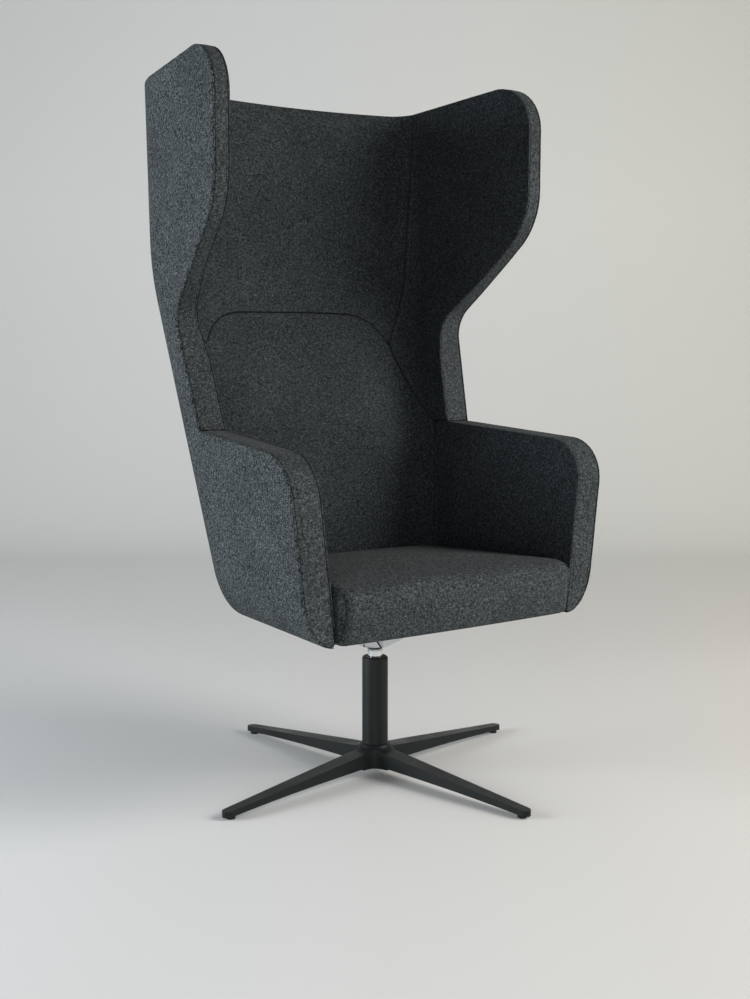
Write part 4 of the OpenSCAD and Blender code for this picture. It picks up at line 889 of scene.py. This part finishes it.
over_c = np.concatenate([np.linspace(2.0, 1.0, 24), np.linspace(1.0, -1.0, 41)[1:],
                         np.linspace(-1.0, -2.0, 24)[1:]])
other_side = side_rings[::-1] * [-1.0, 1.0, 1.0]
rings = np.concatenate([side_rings, rear_rings(over_c), other_side])
soft_piece("hood_edge", *close_bar(rings[:, ::-1]), felt, "felt", 0.95, "hood_band")


# Back cushion: one foam pad under felt, from below the seat up to its tongue between the wings.
# Its cover is drawn tight; the foam swells it a little away from the seams.
def swollen(front, back, rows, cols, cap):
    """Moves of a pad's face under the pressure of its foam, from a cloth simulation of a coarse
    copy whose rim and hidden side are held, scaled so that the largest is cap and spread over
    the full grid: move = weights of the row, times the coarse moves, times weights of the
    column."""
    rows = np.unique(np.linspace(0, front.shape[0] - 1, rows).astype(int))
    cols = np.unique(np.linspace(0, front.shape[1] - 1, cols).astype(int))
    small, under = front[np.ix_(rows, cols)], back[np.ix_(rows, cols)]
    points = np.concatenate([small.reshape(-1, 3), under.reshape(-1, 3)])
    quads = grid_quads(len(rows), len(cols))
    edge = np.zeros((len(rows), len(cols)), bool)
    edge[[0, -1], :] = edge[:, [0, -1]] = True
    walls = close_sheet(small, under)[1][2 * len(quads):]
    faces = np.concatenate([quads, quads[:, ::-1] + small.shape[0] * small.shape[1], walls])
    copy = put_mesh("foam_copy", points, faces, felt)
    held = copy.vertex_groups.new(name="held")
    inner = np.flatnonzero(edge.reshape(-1)).tolist()
    held.add(inner + list(range(edge.size, 2 * edge.size)), 1.0, "REPLACE")
    cloth = copy.modifiers.new("cloth", "CLOTH")
    for key, value in dict(vertex_group_mass="held", quality=6, mass=0.3,
                           tension_stiffness=40.0, compression_stiffness=40.0,
                           bending_stiffness=2.0, use_pressure=True,
                           uniform_pressure_force=4.0).items():
        setattr(cloth.settings, key, value)
    cloth.settings.effector_weights.gravity = 0.0
    cloth.point_cache.frame_start, cloth.point_cache.frame_end = 1, 20
    for step in range(1, 21):
        bpy.context.scene.frame_set(step)
    shaped = copy.evaluated_get(bpy.context.evaluated_depsgraph_get())
    flat = np.empty(len(points) * 3)
    shaped.data.vertices.foreach_get("co", flat)
    move = (flat.reshape(-1, 3) - points)[:edge.size].reshape(len(rows), len(cols), 3)
    bpy.context.scene.frame_set(1)
    bpy.data.objects.remove(copy, do_unlink=True)
    move *= cap / max(1e-6, np.linalg.norm(move, axis=-1).max())
    row_w, col_w = [np.stack([np.interp(np.arange(n), kept, unit) for unit in np.eye(len(kept))],
                             axis=1) for n, kept in zip(front.shape, (rows, cols))]
    return np.einsum("ri,ijk,cj->rck", row_w, move, col_w)


cushion_low = 0.345
v = edge_spread(96, 0.50) * 2.0 - 1.0
w = edge_spread(96, 0.48)
edge_z = cushion_low + (corner_seam_h - cushion_low) * w
side_c = np.where(edge_z < seam_h, column_at(arm_seam_line, edge_z) - 0.004,
                  column_at(tongue_line, edge_z) - 0.016)
c = even_columns(edge_z, side_c, v)
z_top = np.interp(np.abs(c[-1]), tongue_line[::-1, 1], tongue_line[::-1, 0]) - tongue_gap
z = cushion_low + (z_top[None, :] - cushion_low) * w[:, None]
here = lining_at(c, z)
rim_line = np.concatenate([sunk_line(arm_seam_line), sunk_line(tongue_line)])
rim_line = np.concatenate([rim_line, rim_line * [-1.0, 1.0, 1.0]])
rim_far = edge_distance(here, rim_line)
sink = turned_in(rim_far, 0.0050, 0.0048)
crown = 0.0030 * eased((rim_far - 0.006) / 0.10)
hidden = lining_at(c, z, np.where(z > seam_h, -0.026, -0.020))
swell = swollen(here, hidden, 34, 34, 0.0045)
face = lining_at(c, z, crown - sink) + swell * eased(rim_far / 0.02)[..., None]
soft_piece("back_cushion_felt", *close_sheet(face[:, ::-1], hidden[:, ::-1]), shaded_inside_felt,
           "felt", 0.9, "back_cushion")


# Seat cushion: a thick foam block under felt with a front roll that hangs over the edge of the
# seat board. A narrow curved gusset closes each end of the roll, with a row of stitching.
seat_h, seat_crown, seat_edge_r, seat_gap_side = 0.430, 0.015, 0.024, 0.0012
seat_corner_r, seat_front_bow, lip_t, lip_r, board_top = 0.008, 0.005, 0.021, 0.010, 0.3605
seat_low, seat_mid_y, seat_slope = 0.3274, -0.060, math.tan(math.radians(2.3))


def seat_level(z, y):
    """Height of a point of the seat: it falls to the rear more the higher it lies."""
    return z - seat_slope * (y + arm_front) * eased((z - board_top) / (seat_h - board_top))


def seat_side_x(z, y, inset):
    """Half width of the seat at height z and y. Towards the front it leaves the arm a little
    further off, most at the top."""
    low = seat_level(z, y)
    high = 0.3 + 0.7 * eased((z - seat_low) / (seat_h - seat_low))
    gap = seat_gap_side + 0.0022 * high * eased((-0.10 - y) / 0.13)
    return side_half(low) - side_thick(low) - math.tan(splay) * y - gap - inset


def seat_ring(z, inset):
    """Plan outline of the seat at height z, drawn in by inset: along the lining at the rear,
    down both arms, round the front corners and along the slightly bowed front."""
    level = seat_level(z, lining_at(rear_c, z, seat_gap_side + inset)[:, 1])
    rear = lining_at(rear_c, level, seat_gap_side + inset)[:, :2]
    front = -arm_front + inset
    yc = front + seat_corner_r
    cx = seat_side_x(z, yc, inset) - seat_corner_r
    side_y = rear[-1, 1] + (yc - rear[-1, 1]) * side_t
    left = np.stack([-seat_side_x(z, side_y, inset), side_y], axis=1)
    left_corner = np.stack([-cx - seat_corner_r * np.cos(corner_t),
                            yc - seat_corner_r * np.sin(corner_t)], axis=1)
    x = front_t * cx
    run = np.stack([x, front - seat_front_bow * (1.0 - front_t ** 2)], axis=1)
    flip = np.array([-1.0, 1.0])
    return np.concatenate([rear, left, left_corner, run, left_corner[::-1] * flip,
                           left[::-1] * flip])


rear_c = np.linspace(2.0, -2.0, 121)
side_t = np.concatenate([np.linspace(0.0, 0.93, 60)[1:], np.linspace(0.93, 1.0, 8)[1:-1]])
corner_t = np.linspace(0.0, math.pi / 2.0, 22)
near_gusset = np.linspace(0.0, 0.13, 44)[1:]
half_front = np.concatenate([-1.0 + near_gusset, np.linspace(-0.87, 0.0, 48)[1:]])
front_t = np.concatenate([half_front, -half_front[::-1][1:]])
low_turn, high_turn = [np.linspace(0.0, math.pi / 2.0, n) for n in (10, 20)]
wall = np.linspace(seat_low + lip_r, seat_h - seat_edge_r, 64)[1:]
levels = np.concatenate([seat_low + lip_r * (1.0 - np.cos(low_turn)), wall,
                         seat_h - seat_edge_r + seat_edge_r * np.sin(high_turn[1:])])
insets = np.concatenate([lip_r * (1.0 - np.sin(low_turn)), wall * 0.0,
                         seat_edge_r * (1.0 - np.cos(high_turn[1:]))])
rings = []
for z_at, inset in zip(levels, insets):
    ring = seat_ring(z_at, inset)
    rings.append(np.column_stack([ring, seat_level(z_at, ring[:, 1])]))
edge_ring = rings[-1]
for k in np.cos(np.linspace(0.0, math.pi / 2.0, 48)[1:-1]) ** 0.8:
    y_at = seat_mid_y + (edge_ring[:, 1] - seat_mid_y) * k
    z_at = seat_level(seat_h, y_at) + seat_crown * (1.0 - k * k)
    rings.append(np.column_stack([edge_ring[:, 0] * k, y_at, z_at]))
rings = np.array(rings)
lip_back, seat_floor = -arm_front + lip_t, board_top + 0.0002
first_full = int(np.searchsorted(levels, board_top))
lip = rings[:first_full].copy()
lip[:, :, 1] = np.minimum(lip[:, :, 1], lip_back)
lip[:, :, 2] = levels[:first_full, None]
floor_ring = lip[-1:].copy()
floor_ring[:, :, 2] = seat_floor
base_ring = rings[first_full:first_full + 1].copy()
base_ring[:, :, 2] = seat_floor
rings = np.concatenate([lip, floor_ring, base_ring, rings[first_full:]])

gusset = drawn_through([(0.2562, 0.4285), (0.2508, 0.4235), (0.2475, 0.410), (0.2463, 0.398),
                        (0.2467, 0.383), (0.2482, 0.366), (0.2506, 0.350), (0.2528, 0.338),
                        (0.2545, 0.330)])
gusset_line = resample(gusset, 0.0005)
gusset_off, gusset_x, gusset_in = 0.0062, 0.2562, 0.0099
roll_swell, roll_belly, front_roll_y = 0.0065, 0.016, 0.020 - arm_front


def front_swell(distance):
    """How far the foam of the front roll pushes the felt forward, rising from the gusset."""
    return roll_swell * eased((distance + 0.003) / 0.015)


def front_belly(z):
    """How far the whole front roll hangs forward at height z: in step with how far the gusset
    seam stands in from the side of the seat."""
    share = (gusset_x - gusset[::-1, 0]) / gusset_in
    return roll_belly * np.interp(z, gusset[::-1, 1], share, 0.0, 0.0)


def front_share(y):
    """1 on the front face, fading to 0 where it has turned over into the top."""
    return eased((front_roll_y - y) / 0.015)


onto = np.stack([np.abs(rings[..., 0]), rings[..., 2]], axis=-1)
front_side = rings[..., 1] < front_roll_y
seam_far = np.where(front_side, edge_distance(onto, gusset_line), 1.0)
inner_side = np.abs(rings[..., 0]) < np.interp(rings[..., 2], gusset_line[::-1, 1],
                                               gusset_line[::-1, 0])
sink = channel(seam_far, 0.0, 0.0046, 0.0015)
sink = sink + np.where(inner_side, channel(seam_far, gusset_off, *furrow)
                       - front_swell(seam_far), 0.0040 * eased(seam_far / 0.008))
rings[..., 1] += (np.where(front_side, sink, 0.0) - front_belly(rings[..., 2])) \
    * front_share(rings[..., 1])
count, size = rings.shape[:2]
peak = [0.0, seat_mid_y, seat_level(seat_h, seat_mid_y) + seat_crown]
floor_spot = [0.0, -arm_front + 0.5 * lip_t, seat_low]
j = np.arange(size)
over = np.stack([(count - 1) * size + j, np.full(size, count * size),
                 (count - 1) * size + np.roll(j, -1)], axis=1)
below = np.stack([j, np.roll(j, -1), np.full(size, count * size + 1)], axis=1)
quads = grid_quads(count, size, loop=True)
faces = quads[:, ::-1].tolist() + over.tolist() + below.tolist()
points = np.concatenate([rings.reshape(-1, 3), [peak, floor_spot]])
closed_up(soft_piece("seat_cushion_felt", points, faces, felt, "felt", 0.95, "seat_cushion"))


# Topstitching: one row of dark grey thread beside each seam that shows, sewn through the felt
# so that every stitch lies in a shallow furrow.
def stitch_row(line, out, pitch=0.0050, length=0.0037, radius=0.00048):
    """Points and faces of a row of thread stitches along a line. Each is a capsule of five
    rings, bent down at both ends: its height over the line is radius (1 - 2 s^2), s from -1
    to 1 along it."""
    both = resample(np.concatenate([line, out], axis=1), 0.0005)
    run = np.concatenate([[0.0], np.cumsum(np.linalg.norm(np.diff(both[:, :3], axis=0),
                                                          axis=1))])
    at = np.arange(pitch, run[-1] - pitch, pitch)
    spot = np.stack([np.interp(at, run, both[:, k]) for k in range(6)], axis=1)
    ahead = np.stack([np.interp(at + 0.0005, run, both[:, k]) for k in range(3)], axis=1)
    way = ahead - spot[:, :3]
    way /= np.linalg.norm(way, axis=1, keepdims=True)
    up = spot[:, 3:] - np.sum(spot[:, 3:] * way, axis=1, keepdims=True) * way
    up /= np.linalg.norm(up, axis=1, keepdims=True)
    aside = np.cross(way, up)
    s = np.array([-1.0, -0.8, 0.0, 0.8, 1.0])
    wide = radius * np.array([0.35, 0.8, 1.0, 0.8, 0.35])
    turn = np.linspace(0.0, 2.0 * math.pi, 7)[:-1]
    centre = spot[:, None, None, :3] + way[:, None, None] * (s * length / 2.0)[:, None, None] \
        + up[:, None, None] * (radius * (0.4 - 1.4 * s * s))[:, None, None]
    rim = aside[:, None, None] * np.cos(turn)[:, None] + up[:, None, None] * np.sin(turn)[:, None]
    points = centre + rim * wide[:, None, None]
    quads = grid_quads(5, 6, loop=True)
    caps = np.array([[0, 1, 2, 3], [0, 3, 4, 5], [27, 26, 25, 24], [29, 28, 27, 24]])
    faces = np.concatenate([quads[:, ::-1], caps])
    base = (np.arange(len(at)) * 30)[:, None, None]
    return points.reshape(-1, 3), (faces[None] + base).reshape(-1, 4)


def beside(line, offset):
    """A seam line of the inner surface moved by offset towards the front of the chair:
    [height, column] as before."""
    reach = np.linspace(0.0, 0.35, 60)
    spots = lining_at(line[:, 1:2] + reach, line[:, :1])
    run = np.cumsum(np.linalg.norm(np.diff(spots, axis=1, prepend=spots[:, :1]), axis=-1), axis=1)
    move = np.array([np.interp(offset, r, reach) for r in run])
    return np.stack([line[:, 0], line[:, 1] + move], axis=1)


def on_lining(line, lift):
    """Points of a [height, column] line of the inner surface, lifted off it, and the way out."""
    spots = lining_at(line[:, 1], line[:, 0], lift)
    return spots, lining_at(line[:, 1], line[:, 0], lift + 0.001) - spots


def on_band(stations, offset, inner):
    """Points of a row on a side band, offset from its outer or inner seam, and the way out."""
    y, z, ty, tz = stations.T
    deep = 0.0003 + turned_in(offset, *outer_roll)
    yy, zz = y + tz * deep, z - ty * deep
    outside = side_surface(yy, zz, edge_back)
    inside = side_surface(yy, zz, -edge_back, outer=False)
    wide = np.maximum(np.linalg.norm(outside - inside, axis=1, keepdims=True), 1e-6)
    share = np.minimum(offset / wide, 0.5)
    share = 1.0 - share if inner else share
    return outside + (inside - outside) * share, np.stack([y * 0.0, -tz, ty], axis=1)


thread, add, shade, place = new_finish("dark_grey_thread")
shade(Roughness=0.55,
      Base_Color=add("Mix", data_type="RGBA", A=(0.018, 0.020, 0.021), B=(0.085, 0.090, 0.093),
                     Factor=add("TexNoise", place, Scale=2600.0, Detail=2.0)))

thread_sunk = 0.0004
arm_seam = np.concatenate(arm_runs[:-1] + [arm_top_run])
arm_outer_row = arm_seam[:int(len(arm_seam) * 0.78)]
hood_seam = hood_stations[len(fold) + 1:]
low_seam = arm_seam_line[arm_seam_line[:, 0] > 0.44]
head_seam = liner_line[(liner_line[:, 0] > 0.845) & (liner_line[:, 0] < z_head - 0.012)]
rows = {
    "stitches_arm_outer": on_band(arm_outer_row, stitch_off, False),
    "stitches_arm_inner": on_band(arm_seam, inner_off, True),
    "stitches_wing": on_band(hood_seam, inner_off, True),
    "stitches_lower_back": on_lining(beside(low_seam, stitch_off), -thread_sunk),
    "stitches_head": on_lining(beside(head_seam, stitch_off), -thread_sunk)}
gusset_row = gusset[3:-6]
side = np.gradient(gusset_row, axis=0)
side = np.stack([side[:, 1], -side[:, 0]], axis=1)
side /= np.linalg.norm(side, axis=1, keepdims=True)
gusset_row = gusset_row + side * gusset_off
reach = seat_side_x(gusset_row[:, 1], seat_corner_r - arm_front, 0.0) - seat_corner_r
bow_y = -arm_front - seat_front_bow * (1.0 - np.clip(gusset_row[:, 0] / reach, 0.0, 1.0) ** 2)
rise = np.clip((gusset_row[:, 1] - (seat_h - seat_edge_r)) / seat_edge_r, 0.0, 1.0)
bow_y = bow_y + seat_edge_r * (1.0 - np.sqrt(1.0 - rise ** 2)) + 0.0006
bow_y = bow_y - (front_swell(gusset_off) + front_belly(gusset_row[:, 1])) * front_share(bow_y)
rows["stitches_seat"] = (np.stack([gusset_row[:, 0], bow_y, gusset_row[:, 1]], axis=1),
                         np.tile([0.0, -1.0, 0.0], (len(bow_y), 1)))
for name, (line, out) in rows.items():
    points, faces = stitch_row(line, out)
    pair = put_mesh(name, np.concatenate([points, points * [-1.0, 1.0, 1.0]]),
                    np.concatenate([faces, faces[:, ::-1] + len(points)]), thread)
    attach(pair, "seat")
